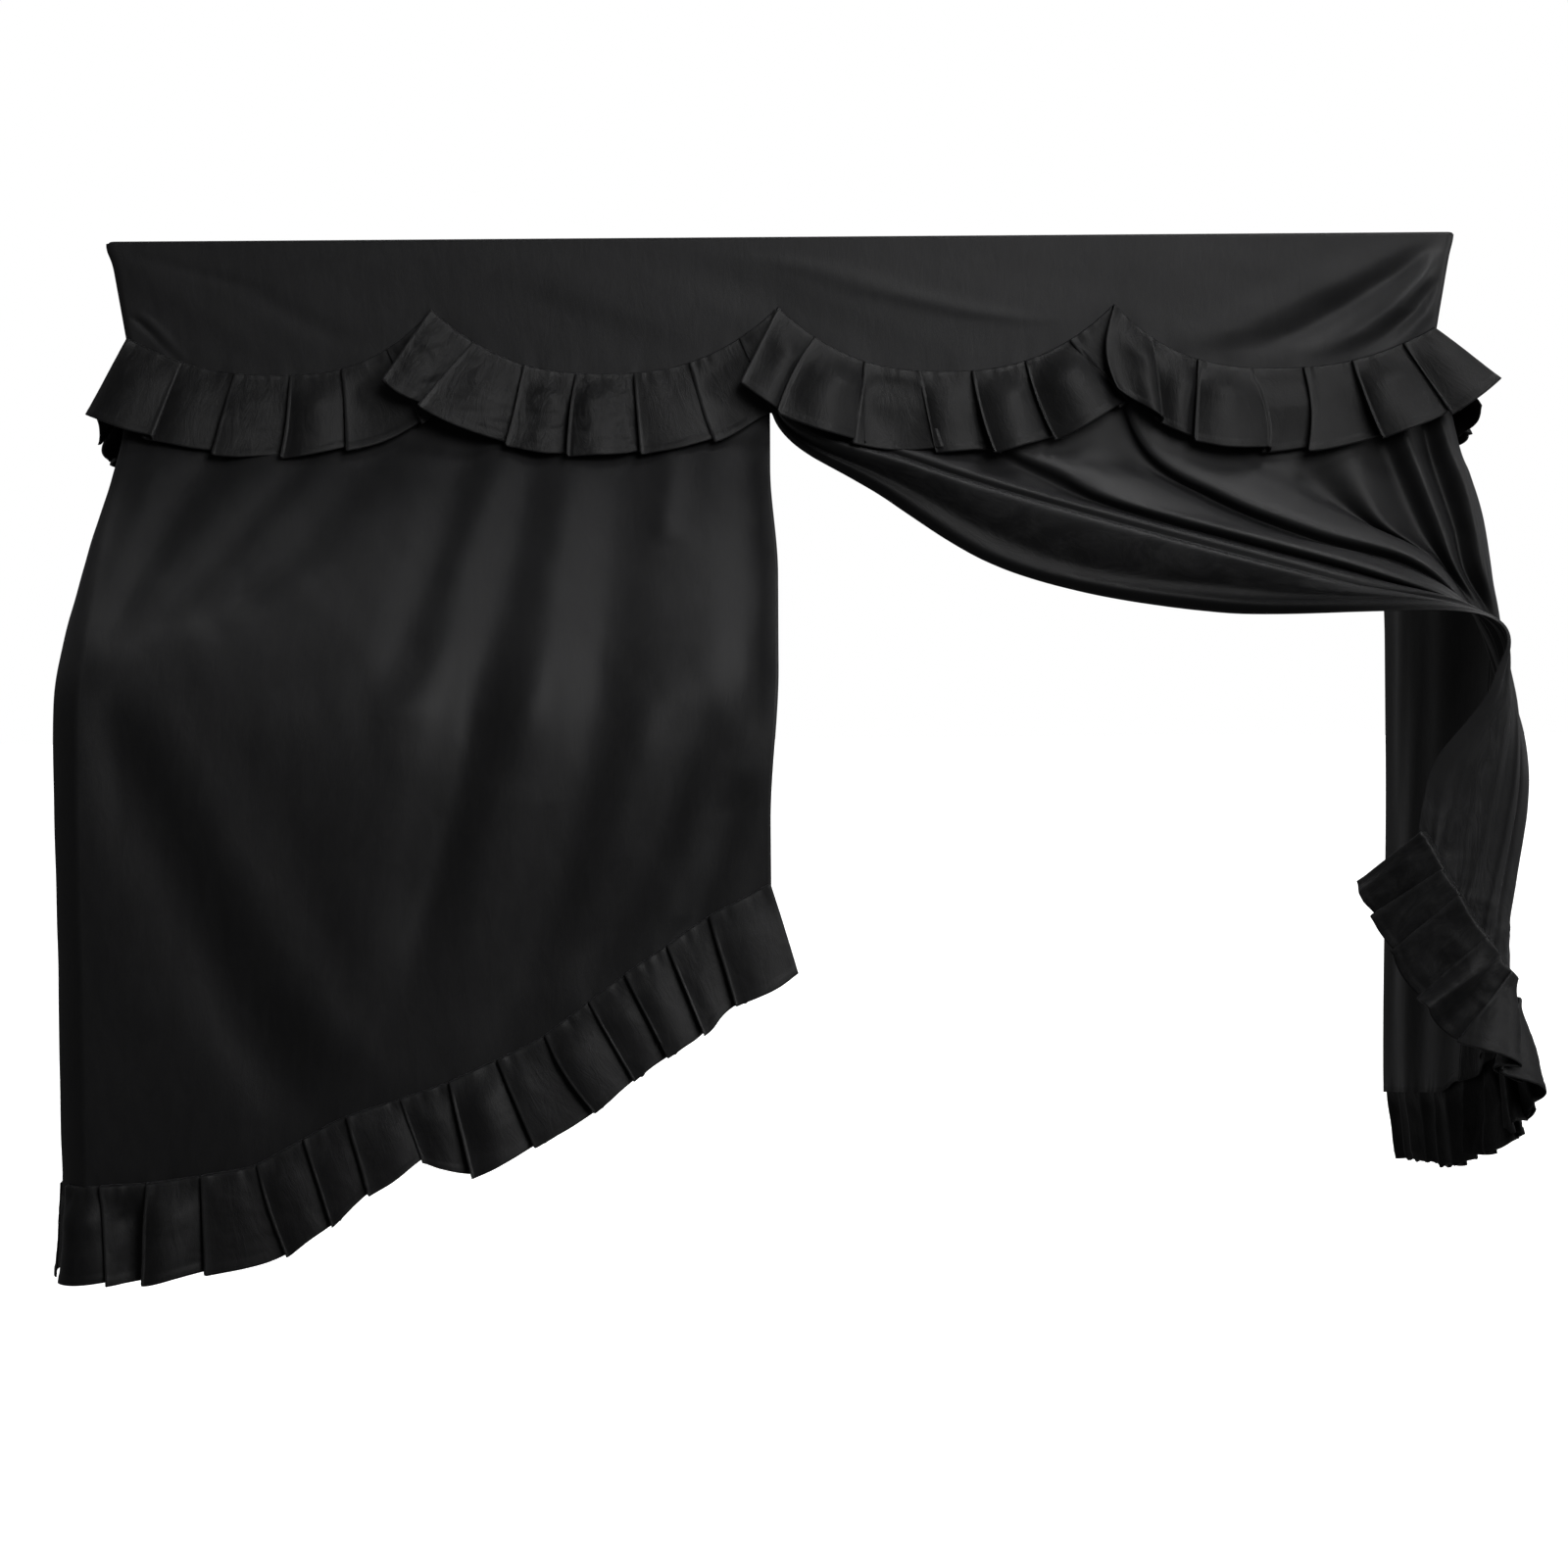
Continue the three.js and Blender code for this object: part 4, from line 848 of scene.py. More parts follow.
def ruffle_grid(pleats, root, depth=RUFFLE, flare=8.0, end_flare=8.0, raised=0.0, lap=LAP,
                saw=4.0, clear=0.0, seed=1, rows=44):
    """root(s) gives the point on the cloth and the directions across, down and out. From the
    seam (w = 0) to the edge (w = 1) a column leans sideways, stands off by the flare as
    w^1.3, and its fold opens from a third of its height to the whole of it. A panel swells
    between its folds as a sine bent towards its peak. Above the seam the edge rolls back on
    to the cloth in a quarter circle. Clear keeps a least stand-off under the seam."""
    table = np.array(pleats, float)
    first, last = table[0, PLACE], table[-1, PLACE]
    columns = pleat_columns(pleats)
    place, turn, high, swell, q, peak, bend, crush, fold = columns.T[:, :, None]
    roll = np.linspace(0, 1, 6)[:-1]
    w = np.concatenate([np.zeros(len(roll)), np.linspace(0, 1, rows)])[None]
    curl = np.concatenate([1 - roll, np.zeros(rows)])[None] * np.pi / 2
    s = place + turn * mix(ROOT_TURN, FOLD_TURN, w)
    at, across, down, out = root(s)
    lean = np.interp(s, table[:, PLACE], table[:, LEAN])
    if table.shape[1] > DEPTH:
        depth = np.interp(s, table[:, PLACE], table[:, DEPTH])

    along = np.clip((s - first) / (last - first), 0, 1)
    lift = mix(flare, end_flare, rise(along, 0.72, 0.24))
    start = raised * (1 - rise(s - first, 45, 75))
    wander = value_noise(s / 90.0, w * 1.6, 1.0, seed + 9) * 0.1
    top = np.clip(peak + wander, 0.15, 0.85)
    bulge = swell * np.sin(np.pi * np.clip(q, 0, 1) ** (np.log(0.5) / np.log(top)))
    bulge = bulge * smooth(w / 0.4) * (1 - 0.15 * w)
    reach = np.sqrt(np.maximum(0, depth**2 - lean**2 - lift**2))
    uneven = value_noise(s, 0 * s, 31.0, seed + 7) * 2.0 * w
    rough = crumple(s - lean * w, reach * w, 17.0, seed) * crush * 1.6 * smooth(w * 4)
    rough += value_noise(s, reach * w, 26.0, seed + 2) * 1.0 * smooth(w * 3)
    pucker = value_noise(s, 0 * s, 6.0, seed + 4) * 1.1 * np.clip(1 - w * 3.5, 0, 1) ** 2
    edge = RUFFLE_HEM_STEP * smooth((w - 1 + RUFFLE_HEM / HEM_RUFFLE) * 60)

    stand = lap + lift * w**OPENING_POWER + high * mix(ROOT_FOLD, 1, w)
    stand = stand + mix(np.minimum(start, RAISED_ROOT), start, w)
    stand = stand + SWELL * bulge + rough + pucker + edge
    if clear:
        least = lap + clear * smooth(w / 0.5)
        sink = ROOT_SINK * (1 - smooth(w / 0.1))
        stand = least + soft_ramp(stand - least, LEAST_SOFTNESS) - sink
    stand = mix(stand, ROLLED_STAND, 1 - np.cos(curl))
    fall = (reach + uneven + saw * (0.5 - q)) * w - ROOT_RISE - ROLL_DROP * np.sin(curl)
    aside = lean * w + bend * np.sin(np.pi * np.clip(w * 0.85, 0, 1))
    grid = at + across * aside[..., None] + down * fall[..., None] + out * stand[..., None]
    # press: painted highlight along the pressed fold edges, and thin painted highlight lines at the
    # root and along the ruffle's hem
    rim_highlights = np.exp(-((w * 22) ** 2)) * 0.5 + rise(w, 0.975, 0.015) * 0.35
    press = np.clip(fold * smooth(w * 8 + 0.3) + rim_highlights * (high > 2), 0, 1)
    return grid, {"crush": crush + 0 * w, "press": press}


def front_root(s):
    """Directions on the front wall at a place of the yoke seam."""
    inner = SEAM_HALF_WIDTH - 2
    place = np.clip(s, -inner, inner)
    at = np.stack([place, np.full_like(place, SEAM_FRONT), seam_z(place)], axis=-1)
    return at, np.array([1.0, 0, 0]), np.array([0, 0, -1.0]), np.array([0, -1.0, 0])


def side_root(sign):
    """Directions on a side wall, with s running from left to right seen from outside."""

    def root(s):
        y = sign * s
        t = np.clip((y + SIDE_SEAM_HALF) / (2 * SIDE_SEAM_HALF), 0, 1)
        at = np.stack([np.full_like(y, sign * SEAM_HALF_WIDTH), y, side_seam_z(t)], axis=-1)
        return at, np.array([0, sign, 0.0]), np.array([0, 0, -1.0]), np.array([sign, 0, 0.0])

    return root


def side_pleats(sign):
    """Pleat table of a side's upper ruffle. The right side's places mirror the left side's."""
    places = (-166, -112, -58, -2, 54, 108, 163)
    if sign > 0:
        places = tuple(-place for place in reversed(places))
    leans = (-30, -20, -8, 2, 10, 22, 30)
    folds = (11, 14, 15, 15, 14, 12, 5)
    bulges = (5, 6, 2, 7, 3, -3, 0)
    return [(a, b, c, 0, d, 0.45, 0, 0.15) for a, b, c, d in zip(places, leans, folds, bulges)]


def even_pleats(start, end, count, fold, lean, crush=0.2):
    """Pleat table along a hem: even places with a little unevenness from sines. lean(share)
    gives the sideways lean at each share of the hem."""
    k = np.arange(count + 1)
    share = k / count
    at = mix(start, end, share) + np.where((k > 0) & (k < count), 5 * np.sin(k * 2.3), 0)
    folds = np.where(k == count, 4, fold * (1 + 0.18 * np.sin(k * 1.7)))
    bulges = 2.5 + 2.5 * np.sin(k * 2.9 + 0.6)
    peaks = 0.45 + 0.15 * np.sin(k * 1.3)
    none = 0 * at
    return np.stack([at, lean(share), folds, none, bulges, peaks, none, none + crush], -1)


def side_lean(share):
    """Lean of a side's hem pleats, growing evenly to 8 mm."""
    return 8 * share


def tail_lean(share):
    """Lean of the tail's hem pleats, growing softly to 26 mm at two thirds of the hem."""
    return 26 * smooth(share * 1.5)


def running_mean(values, width):
    """Mean over a sliding window of the given width, with the end values carried on."""
    kernel = np.ones(width) / width
    before = np.repeat(values[:1], width // 2, 0)
    after = np.repeat(values[-1:], width // 2, 0)
    padded = np.concatenate([before, values, after])
    return np.stack([np.convolve(padded[:, k], kernel, "valid") for k in range(3)], axis=-1)


def hem_root(grid, sign, by_width=False, width=9, back=10):
    """Root along the lower edge of a cloth: s is the distance along the edge, or the width
    position. Returns the root function and where s ends."""
    low = running_mean(grid[:, -1], width)
    low[0], low[-1] = grid[0, -1], grid[-1, -1]
    high = running_mean(grid[:, -1 - back], width)
    step = np.linalg.norm(np.diff(low, axis=0), axis=-1)
    length = low[:, 0] if by_width else np.concatenate([[0], np.cumsum(step)])
    tangent = unit(running_mean(np.gradient(low, axis=0), width))
    fall = unit(low - high)
    facing = unit(np.cross(tangent, fall)) * sign

    def pick(field, s):
        """Value along the edge, straight between its points."""
        return np.stack([np.interp(s, length, field[:, k]) for k in range(3)], -1)

    def root(s):
        at, out = pick(low, s), unit(pick(facing, s))
        if by_width:
            lift = np.array([0, 0, HEM_TUCK])
            return at + lift, np.array([1.0, 0, 0]), np.array([0, 0, -1.0]), out
        across, drop = unit(pick(tangent, s)), pick(fall, s)
        drop = unit(drop - across * (drop * across).sum(-1, keepdims=True))
        return at - drop * HEM_TUCK, across, drop, out

    return root, float(length[-1])


# ---- meshes ----
def grid_faces(columns, rows, ring, turned):
    """Quads between neighbouring columns and rows of a grid. A ring joins its last column to
    its first, and turned faces point the other way."""
    index = np.arange(columns * rows).reshape(columns, rows)
    if ring:
        index = np.concatenate([index, index[:1]])
    a, b, c, d = index[:-1, :-1], index[:-1, 1:], index[1:, 1:], index[1:, :-1]
    return np.stack([a, d, c, b] if turned else [a, b, c, d], axis=-1).reshape(-1, 4)


def cloth_map(metres):
    """Map of the cloth in metres: u along its middle row, and v down each column."""
    width = np.linalg.norm(np.diff(metres, axis=0), axis=-1)[:, metres.shape[1] // 2]
    length = np.linalg.norm(np.diff(metres, axis=1), axis=-1)
    u = np.concatenate([[0], np.cumsum(width)])
    v = np.concatenate([np.zeros((len(metres), 1)), np.cumsum(length, axis=1)], axis=1)
    return np.stack([np.broadcast_to(u[:, None], v.shape), v], axis=-1).reshape(-1, 2)


def cloth_object(name, grid, velvet, thickness, ring=False, turned=False, crush=0.1, press=0.0,
                 nap=1.0):
    """Mesh of a grid in millimetres, with a UV map in metres along the cloth, crush values for the
    pile, press values for the painted highlight, painted light values that paint its colour lighter
    or darker, and its thickness from Solidify, half to each side."""
    quads = grid_faces(*grid.shape[:2], ring, turned)
    metres = grid * MM
    mesh = bpy.data.meshes.new(name)
    mesh.vertices.add(metres.size // 3)
    mesh.vertices.foreach_set("co", metres.ravel())
    mesh.loops.add(quads.size)
    mesh.loops.foreach_set("vertex_index", quads.ravel().astype(np.int32))
    mesh.polygons.add(len(quads))
    mesh.polygons.foreach_set("loop_start", np.arange(0, quads.size, 4, dtype=np.int32))
    mesh.update(calc_edges=True)
    layer = mesh.uv_layers.new(name="cloth")
    layer.data.foreach_set("uv", cloth_map(metres)[quads.ravel()].ravel())
    for key, values in (("crush", crush), ("press", press), ("nap", nap)):
        layer = mesh.attributes.new(key, "FLOAT", "POINT")
        values = np.broadcast_to(values, grid.shape[:2]).ravel()
        layer.data.foreach_set("value", values.astype(np.float32))
    mesh.polygons.foreach_set("use_smooth", np.ones(len(quads), bool))
    mesh.materials.append(velvet)
    piece = bpy.data.objects.new(name, mesh)
    bpy.context.scene.collection.objects.link(piece)
    wall = piece.modifiers.new("Thickness", "SOLIDIFY")
    wall.thickness = thickness * MM
    wall.offset = 0
    return piece


def close_ring(piece):
    """Merges the points that meet on the middle line of a piece made of rings."""
    work = bmesh.new()
    work.from_mesh(piece.data)
    bmesh.ops.remove_doubles(work, verts=work.verts, dist=0.02 * MM)
    work.to_mesh(piece.data)
    work.free()


def sew(context, velvet, node, grid, ring=False, **pile):
    """Makes a node's cloth from its grid and puts it in the node's place, on the cover's one
    body and in its velvet."""
    name = node.removesuffix("_panel") + "_cloth"
    thickness = context.scene.piano_cover_cloth.thickness
    piece = cloth_object(name, grid, velvet, thickness, ring, node in TURNED, **pile)
    if ring:
        close_ring(piece)
    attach(piece, BODY)
    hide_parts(node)


# ---- velvet ----
def velvet_material():
    """Short dark pile: a sheen that gathers where the cloth turns away, pile that lies in long soft
    streaks, patches of crushed pile, a painted highlight where the cloth is pressed, each cloth's
    colour multiplied by its painted light and shade, and a fine grain of pile ends in the bump."""
    finish = bpy.context.scene.piano_cover_finish
    material = bpy.data.materials.get(MATERIAL) or bpy.data.materials.new(MATERIAL)
    material.use_nodes = True
    tree = material.node_tree
    tree.nodes.clear()
    link = tree.links.new

    def node(kind, **values):
        """Adds a node. A socket among the values is linked, and anything else is set."""
        made = tree.nodes.new(kind)
        for key, value in values.items():
            if isinstance(value, bpy.types.NodeSocket):
                link(value, made.inputs[key])
            elif key in made.inputs:
                made.inputs[key].default_value = value
            else:
                setattr(made, key, value)
        return made

    def math_node(kind, *terms, clamp=False):
        """Adds a sum on numbers and sockets, and returns its result."""
        made = node("ShaderNodeMath", operation=kind, use_clamp=clamp)
        for socket, value in zip(made.inputs, terms):
            if isinstance(value, (int, float)):
                socket.default_value = value
            else:
                link(value, socket)
        return made.outputs[0]

    def noise(place, **values):
        """Adds a noise pattern and returns its strength."""
        return node("ShaderNodeTexNoise", Vector=place, **values).outputs["Fac"]

    def pile(name, output="Fac"):
        """Value that the cloth keeps for its pile at each point."""
        return node("ShaderNodeAttribute", attribute_name=name).outputs[output]

    cloth = node("ShaderNodeUVMap", uv_map="cloth").outputs["UV"]
    solid = node("ShaderNodeTexCoord").outputs["Object"]
    long_way = node("ShaderNodeMapping", Vector=cloth, Scale=(1.0, 0.35, 1.0)).outputs["Vector"]
    streaks = noise(long_way, Scale=55.0, Detail=4.0, Roughness=0.62)
    cloud = noise(solid, Scale=7.0, Detail=3.0, Roughness=0.55)
    grain = noise(cloth, Scale=1500.0, Detail=2.0, Roughness=0.7)
    mottle = noise(long_way, Scale=62.0, Detail=5.0, Roughness=0.7, Distortion=0.8)
    patch = math_node("MULTIPLY_ADD", mottle, 4.2, -1.75, clamp=True)
    crushed = math_node("MULTIPLY", patch, pile("crush"), clamp=True)
    # press is a painted highlight: it mixes in the lighter crushed colour and lowers the roughness
    pressed = pile("press")
    crush_and_highlight = math_node("ADD", crushed, math_node("MULTIPLY", pressed, 0.9), clamp=True)

    tone = math_node("ADD", math_node("MULTIPLY", streaks, 0.5),
                     math_node("MULTIPLY", cloud, 0.7))
    tone = math_node("SUBTRACT", tone, 0.1, clamp=True)
    upright, flat = tuple(finish.pile_colour), tuple(finish.crush_and_highlight_colour)
    deep = tuple(c * 0.6 for c in upright)
    colour = node("ShaderNodeMix", data_type="RGBA", Factor=tone, A=deep + (1.0,),
                  B=upright + (1.0,)).outputs["Result"]
    crushed_and_highlit = node("ShaderNodeMix", data_type="RGBA", Factor=crush_and_highlight, A=colour,
                B=flat + (1.0,)).outputs["Result"]
    # painted light and shade: the colour is multiplied by each cloth's painted light value
    turned = node("ShaderNodeMix", data_type="RGBA", blend_type="MULTIPLY", Factor=1.0, A=crushed_and_highlit,
                  B=pile("nap", "Color")).outputs["Result"]

    rough = math_node("MULTIPLY_ADD", tone, 0.2, finish.roughness - 0.08)
    rough = math_node("SUBTRACT", rough, math_node("MULTIPLY", pressed, 0.14))
    rough = math_node("ADD", rough, math_node("MULTIPLY", crushed, 0.1))
    ends = node("ShaderNodeBump", Strength=0.35, Distance=0.0004, Height=grain)
    lie = math_node("ADD", math_node("MULTIPLY", crushed, 0.9),
                    math_node("MULTIPLY", streaks, 0.35))
    bump = node("ShaderNodeBump", Strength=0.5, Distance=0.0016, Height=lie,
                Normal=ends.outputs["Normal"])

    shader = tree.nodes.new("ShaderNodeBsdfPrincipled")
    link(turned, shader.inputs["Base Color"])
    link(rough, shader.inputs["Roughness"])
    link(bump.outputs["Normal"], shader.inputs["Normal"])
    shader.inputs["Specular IOR Level"].default_value = finish.gloss
    shader.inputs["Sheen Weight"].default_value = finish.sheen
    shader.inputs["Sheen Roughness"].default_value = finish.sheen_roughness
    shader.inputs["Sheen Tint"].default_value = tuple(finish.sheen_colour) + (1.0,)
    output = tree.nodes.new("ShaderNodeOutputMaterial")
    link(shader.outputs["BSDF"], output.inputs["Surface"])
    return material


# ---- settings ----
class PianoCoverCloth(bpy.types.PropertyGroup):
    """Sizes of the cloth."""

    thickness: bpy.props.FloatProperty(
        name="Cloth thickness", description="Thickness of the velvet in millimetres",
        default=1.6, min=0.5, max=3.0,
    )
    upper_ruffle: bpy.props.FloatProperty(
        name="Upper ruffle", description="Depth of the ruffle under the yoke in millimetres",
        default=RUFFLE, min=40, max=120,
    )
    hem_ruffle: bpy.props.FloatProperty(
        name="Hem ruffle", description="Depth of the ruffle at the hem in millimetres",
        default=HEM_RUFFLE, min=40, max=120,
    )


class PianoCoverFinish(bpy.types.PropertyGroup):
    """Colours and gloss of the velvet."""

    pile_colour: bpy.props.FloatVectorProperty(
        name="Pile", description="Colour of the upright pile", subtype="COLOR", size=3,
        default=(0.0085, 0.0085, 0.0089), min=0, max=1,
    )
    # colour of the crushed pile, also used for the painted highlight where the cloth is pressed
    crush_and_highlight_colour: bpy.props.FloatVectorProperty(
        name="Crushed pile", description="Colour where the pile is pressed flat",
        subtype="COLOR", size=3, default=(0.018, 0.018, 0.0184), min=0, max=1,
    )
    sheen_colour: bpy.props.FloatVectorProperty(
        name="Sheen", description="Colour of the light caught on the pile ends",
        subtype="COLOR", size=3, default=(0.9, 0.92, 1.0), min=0, max=1,
    )
    sheen: bpy.props.FloatProperty(
        name="Sheen weight", description="How much light the pile ends catch",
        default=0.015, min=0, max=1, subtype="FACTOR",
    )
    sheen_roughness: bpy.props.FloatProperty(
        name="Sheen spread", description="How widely the sheen spreads",
        default=0.42, min=0, max=1, subtype="FACTOR",
    )
    roughness: bpy.props.FloatProperty(
        name="Roughness", description="Roughness of the pile",
        default=0.48, min=0, max=1, subtype="FACTOR",
    )
    gloss: bpy.props.FloatProperty(
        name="Gloss", description="Strength of the satin reflection",
        default=0.075, min=0, max=1, subtype="FACTOR",
    )


class PianoCoverStudio(bpy.types.PropertyGroup):
    """Floor, light and camera."""

    floor_height: bpy.props.FloatProperty(
        name="Floor height", description="Height of the floor against the flat top",
        default=-1.205, unit="LENGTH",
    )
    floor_colour: bpy.props.FloatVectorProperty(
        name="Floor", description="Colour of the floor", subtype="COLOR", size=3,
        default=(0.95, 0.95, 0.95), min=0, max=1,
    )
    key_power: bpy.props.FloatProperty(
        name="Key light", description="Power of the key light", default=24.0, unit="POWER",
    )
    rear_power: bpy.props.FloatProperty(
        name="Rear light", description="Power of the lamp behind", default=14.0, unit="POWER",
    )
    strip_power: bpy.props.FloatProperty(
        name="Ridge light", description="Power of the lamp above that picks out the ridges",
        default=6.4, unit="POWER",
    )
    fill_power: bpy.props.FloatProperty(
        name="Fill light", description="Power of the wide lamp at the right",
        default=30.0, unit="POWER", min=0,
    )
    sky_strength: bpy.props.FloatProperty(
        name="Sky", description="Strength of the soft sun from above and behind", default=3.4,
    )
    room_light: bpy.props.FloatProperty(
        name="Room light", description="Strength of the even light of the room", default=0.15,
    )
    distance: bpy.props.FloatProperty(
        name="Camera distance", description="Distance of the camera from the middle of the lid",
        default=3.08, unit="LENGTH",
    )
    roll: bpy.props.FloatProperty(
        name="Camera roll", description="Turn of the camera about its view in degrees",
        default=0.42,
    )
    eye_height: bpy.props.FloatProperty(
        name="Camera height", description="Height of the camera against the flat top",
        default=-0.498, unit="LENGTH",
    )


# ---- pieces ----
class PIANOCOVER_OT_top(bpy.types.Operator):
    """Makes the flat top, the yoke on three sides and the plain band across the back"""

    bl_idname = "pianocover.top"
    bl_label = "Top, yoke and back band"

    def execute(self, context):
        velvet = velvet_material()
        sew(context, velvet, "top_panel", top_grid(), ring=True)
        grid = yoke_front_grid()
        # painted highlight along the yoke's bright fold, and painted shade beside it that darkens
        # the colour
        yoke_highlight = fold_height(YOKE_PAINTED_HIGHLIGHT, grid[..., 0], grid[..., 2])
        yoke_shade = fold_height(YOKE_PAINTED_SHADE, grid[..., 0], grid[..., 2])
        sew(context, velvet, "yoke_front", grid, press=yoke_highlight, nap=YOKE_PAINTED_LIGHT - yoke_shade)
        for side, sign in SIDES:
            sew(context, velvet, f"yoke_{side}", yoke_side_grid(sign))
        sew(context, velvet, "back_band", band_grid())
        return {"FINISHED"}


class PIANOCOVER_OT_panels(bpy.types.Operator):
    """Makes the two front halves and the two sides"""

    bl_idname = "pianocover.panels"
    bl_label = "Front halves and sides"

    def execute(self, context):
        velvet = velvet_material()
        grids, swept = hung_grids()
        height = grids["front_left_panel"][..., 2]
        # painted light and shade: each cloth's colour is painted lighter or darker by its nap value
        piles = {
            "front_left_panel": {"nap": down_changes(height, LEFT_LOWER_PAINTED_SHADE, LEFT_PAINTED_SHADE)},
            "front_right_panel": swept,
        }
        for node, grid in grids.items():
            sew(context, velvet, node, grid, **piles.get(node, {}))
        return {"FINISHED"}


class PIANOCOVER_OT_upper_ruffles(bpy.types.Operator):
    """Makes the knife-pleated ruffles along the yoke seam"""

    bl_idname = "pianocover.upper_ruffles"
    bl_label = "Upper ruffles"

    def execute(self, context):
        depth = context.scene.piano_cover_cloth.upper_ruffle
        velvet = velvet_material()
        last = len(UPPER_PLEATS) - 1
        # painted shade: each front ruffle's colour is painted darker
        for k, (pleats, nap) in enumerate(zip(UPPER_PLEATS, UPPER_PAINTED_SHADES)):
            grid, pile = ruffle_grid(
                pleats, front_root, depth=depth, flare=12, end_flare=20 if k == last else 7,
                raised=11 if k else 0, clear=10, saw=6.5, seed=110 + 10 * k,
            )
            pile["crush"] = 0.28 + 0.72 * pile["crush"]
            sew(context, velvet, f"ruffle_front_{k + 1}", grid, nap=nap, **pile)
        for side, sign in SIDES:
            grid, pile = ruffle_grid(
                side_pleats(sign), side_root(sign), depth=depth, flare=29, end_flare=27,
                seed=160 + sign,
            )
            sew(context, velvet, f"ruffle_side_{side}", grid, nap=SIDE_PAINTED_SHADE, **pile)
        return {"FINISHED"}


class PIANOCOVER_OT_hem_ruffles(bpy.types.Operator):
    """Makes the knife-pleated ruffles along the hem"""

    bl_idname = "pianocover.hem_ruffles"
    bl_label = "Hem ruffles"

    def execute(self, context):
        depth = context.scene.piano_cover_cloth.hem_ruffle
        velvet = velvet_material()
        grids, _ = hung_grids()
        front, _ = hem_root(grids["front_left_panel"], -1, by_width=True)
        left, left_end = hem_root(grids["side_left_panel"], 1)
        right, right_end = hem_root(grids["side_right_panel"], -1)
        tail, tail_end = hem_root(grids["front_right_panel"], -1)
        left_pleats = even_pleats(3, left_end - END_GAP, count=10, fold=10, lean=side_lean)
        left_pleats[0, FOLD] = 3
        right_pleats = even_pleats(2, right_end - END_GAP, count=6, fold=12, lean=side_lean)
        tail_pleats = even_pleats(
            4, tail_end - END_GAP, count=9, fold=11, lean=tail_lean, crush=0.5
        )
        rows = (
            ("hem_front_left", HEM_PLEATS, front, {}),
            ("hem_side_left", left_pleats, left, {"flare": 3, "end_flare": 6}),
            ("hem_side_right", right_pleats, right, {}),
            ("hem_front_right", tail_pleats, tail,
             {"flare": 3, "end_flare": 3, "lap": TAIL_LAP}),
        )
        for k, (node, pleats, root, stand) in enumerate(rows):
            grid, pile = ruffle_grid(pleats, root, depth=depth, seed=210 + 10 * k, **stand)
            sew(context, velvet, node, grid, nap=HEM_PAINTED_SHADE, **pile)
        return {"FINISHED"}


class PIANOCOVER_OT_studio(bpy.types.Operator):
    """Makes the floor, the soft studio light and the camera"""

    bl_idname = "pianocover.studio"
    bl_label = "Studio"

    def execute(self, context):
        scene, studio = context.scene, context.scene.piano_cover_studio
        make_floor(scene, studio)
        make_world(scene, studio)
        make_lamps(scene, studio)
        make_camera(scene, studio)
        return {"FINISHED"}


def make_floor(scene, studio):
    """Plain pale floor, glowing a little so that the ground stays clean of shadows."""
    half, height = FLOOR_HALF, studio.floor_height
    mesh = bpy.data.meshes.new("studio_floor")
    corners = [(x, y, height) for x, y in ((-half, -half), (half, -half), (half, half),
                                           (-half, half))]
    mesh.from_pydata(corners, [], [(0, 1, 2, 3)])
    floor = bpy.data.objects.new("studio_floor", mesh)
    scene.collection.objects.link(floor)
    paint = bpy.data.materials.new("studio_floor")
    paint.use_nodes = True
    shader = paint.node_tree.nodes["Principled BSDF"]
    shader.inputs["Base Color"].default_value = tuple(studio.floor_colour) + (1.0,)
    shader.inputs["Roughness"].default_value = FLOOR_ROUGHNESS
    shader.inputs["Emission Color"].default_value = WHITE
    shader.inputs["Emission Strength"].default_value = FLOOR_GLOW
    mesh.materials.append(paint)
    floor.visible_diffuse = floor.visible_glossy = False


def make_world(scene, studio):
    """Even light of the room, seen by the camera as plain white."""
    world = bpy.data.worlds.new("studio")
    world.use_nodes = True
    tree = world.node_tree
    soft = tree.nodes["Background"]
    soft.inputs["Color"].default_value = WHITE
    soft.inputs["Strength"].default_value = studio.room_light
    bright = tree.nodes.new("ShaderNodeBackground")
    bright.inputs["Color"].default_value = WHITE
    bright.inputs["Strength"].default_value = 1.0
    path = tree.nodes.new("ShaderNodeLightPath")
    blend = tree.nodes.new("ShaderNodeMixShader")
    tree.links.new(path.outputs["Is Camera Ray"], blend.inputs[0])
    tree.links.new(soft.outputs[0], blend.inputs[1])
    tree.links.new(bright.outputs[0], blend.inputs[2])
    tree.links.new(blend.outputs[0], tree.nodes["World Output"].inputs["Surface"])
    scene.world = world
    scene.view_settings.view_transform = "Standard"


def add_lamp(scene, light, place, target):
    """Adds a lamp at a place and turns it to its target."""
    lamp = bpy.data.objects.new(light.name, light)
    scene.collection.objects.link(lamp)
    lamp.location = place
    way = np.subtract(target, place)
    tilt = math.atan2(math.hypot(way[0], way[1]), -way[2])
    lamp.rotation_euler = (tilt, 0, math.atan2(-way[0], way[1]))


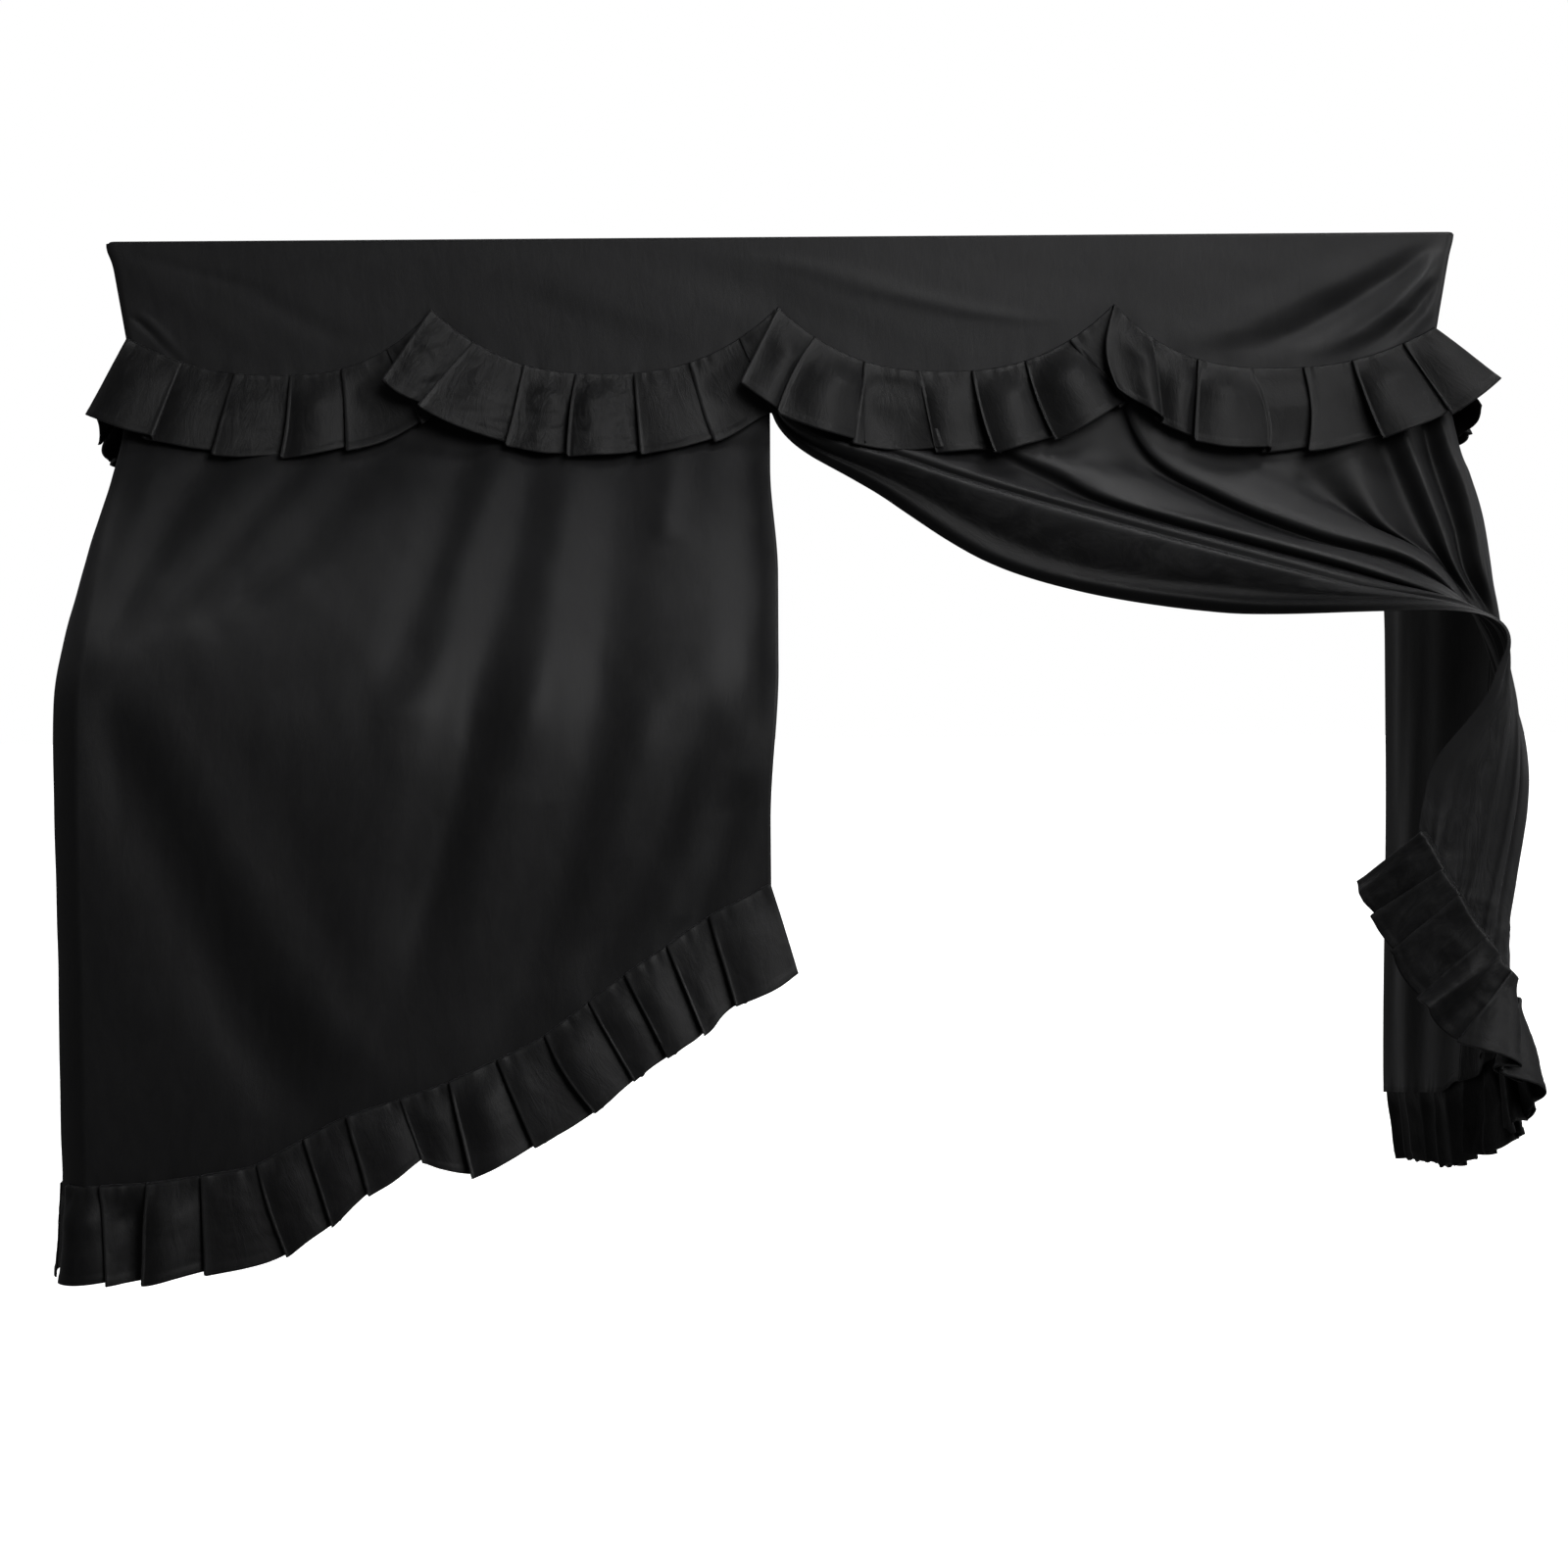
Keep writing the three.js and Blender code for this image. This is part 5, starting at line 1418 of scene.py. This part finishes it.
def make_lamps(scene, studio):
    """Four square lamps and a wide soft sun."""
    lamps = (
        ("key", (1.0, -2.6, 0.7), 1.2, 90, studio.key_power, (-0.3, -0.25, -0.15)),
        ("strip", (1.3, -1.6, 2.1), 1.0, 46, studio.strip_power, (0.4, -0.25, -0.35)),
        ("fill", (2.8, -0.9, 0.1), 1.0, 180, studio.fill_power, (0.75, -0.2, -0.3)),
        ("rear", (0.8, 3.0, 1.6), 1.8, 180, studio.rear_power, COVER_CENTRE),
    )
    for name, place, size, spread, power, target in lamps:
        light = bpy.data.lights.new(f"studio_{name}", "AREA")
        light.shape = "SQUARE"
        light.size = size
        light.spread = math.radians(spread)
        light.energy = power
        add_lamp(scene, light, place, target)
    sky = bpy.data.lights.new("studio_sky", "SUN")
    sky.energy = studio.sky_strength
    sky.angle = math.radians(SUN_ANGLE)
    add_lamp(scene, sky, SUN_PLACE, COVER_CENTRE)


def make_camera(scene, studio):
    """Camera straight in front, shifted down rather than tilted."""
    lens = bpy.data.cameras.new("studio_camera")
    lens.sensor_width = SENSOR
    lens.lens = LENS
    lens.shift_y = SHIFT
    camera = bpy.data.objects.new("studio_camera", lens)
    scene.collection.objects.link(camera)
    camera.location = (0.0, -studio.distance, studio.eye_height)
    camera.rotation_euler = (math.pi / 2, math.radians(studio.roll), 0)
    scene.camera = camera


class PIANOCOVER_PT_panel(bpy.types.Panel):
    """Sidebar panel with the steps that build the cover"""

    bl_idname = "PIANOCOVER_PT_panel"
    bl_label = "Piano cover"
    bl_space_type = "VIEW_3D"
    bl_region_type = "UI"
    bl_category = "Cover"

    def draw(self, context):
        scene = context.scene
        for key in GROUPS:
            group, box = getattr(scene, key), self.layout.box()
            for name in group.__annotations__:
                box.prop(group, name)
        for operator in OPERATORS:
            self.layout.operator(operator.bl_idname)


GROUPS = {
    "piano_cover_cloth": PianoCoverCloth,
    "piano_cover_finish": PianoCoverFinish,
    "piano_cover_studio": PianoCoverStudio,
}
OPERATORS = (
    PIANOCOVER_OT_top,
    PIANOCOVER_OT_panels,
    PIANOCOVER_OT_upper_ruffles,
    PIANOCOVER_OT_hem_ruffles,
    PIANOCOVER_OT_studio,
)


def register():
    """Registers the classes and hangs the settings on the scene."""
    for item in (*GROUPS.values(), *OPERATORS, PIANOCOVER_PT_panel):
        bpy.utils.register_class(item)
    for name, group in GROUPS.items():
        setattr(bpy.types.Scene, name, bpy.props.PointerProperty(type=group))


def unregister():
    """Takes the settings and the classes away again."""
    for name in GROUPS:
        delattr(bpy.types.Scene, name)
    for item in reversed((*GROUPS.values(), *OPERATORS, PIANOCOVER_PT_panel)):
        bpy.utils.unregister_class(item)


def main():
    """Builds the whole cover and its studio."""
    register()
    for name in ("studio", "top", "panels", "upper_ruffles", "hem_ruffles"):
        getattr(bpy.ops.pianocover, name)()
    bpy.context.view_layer.update()


if __name__ == "__main__":
    main()
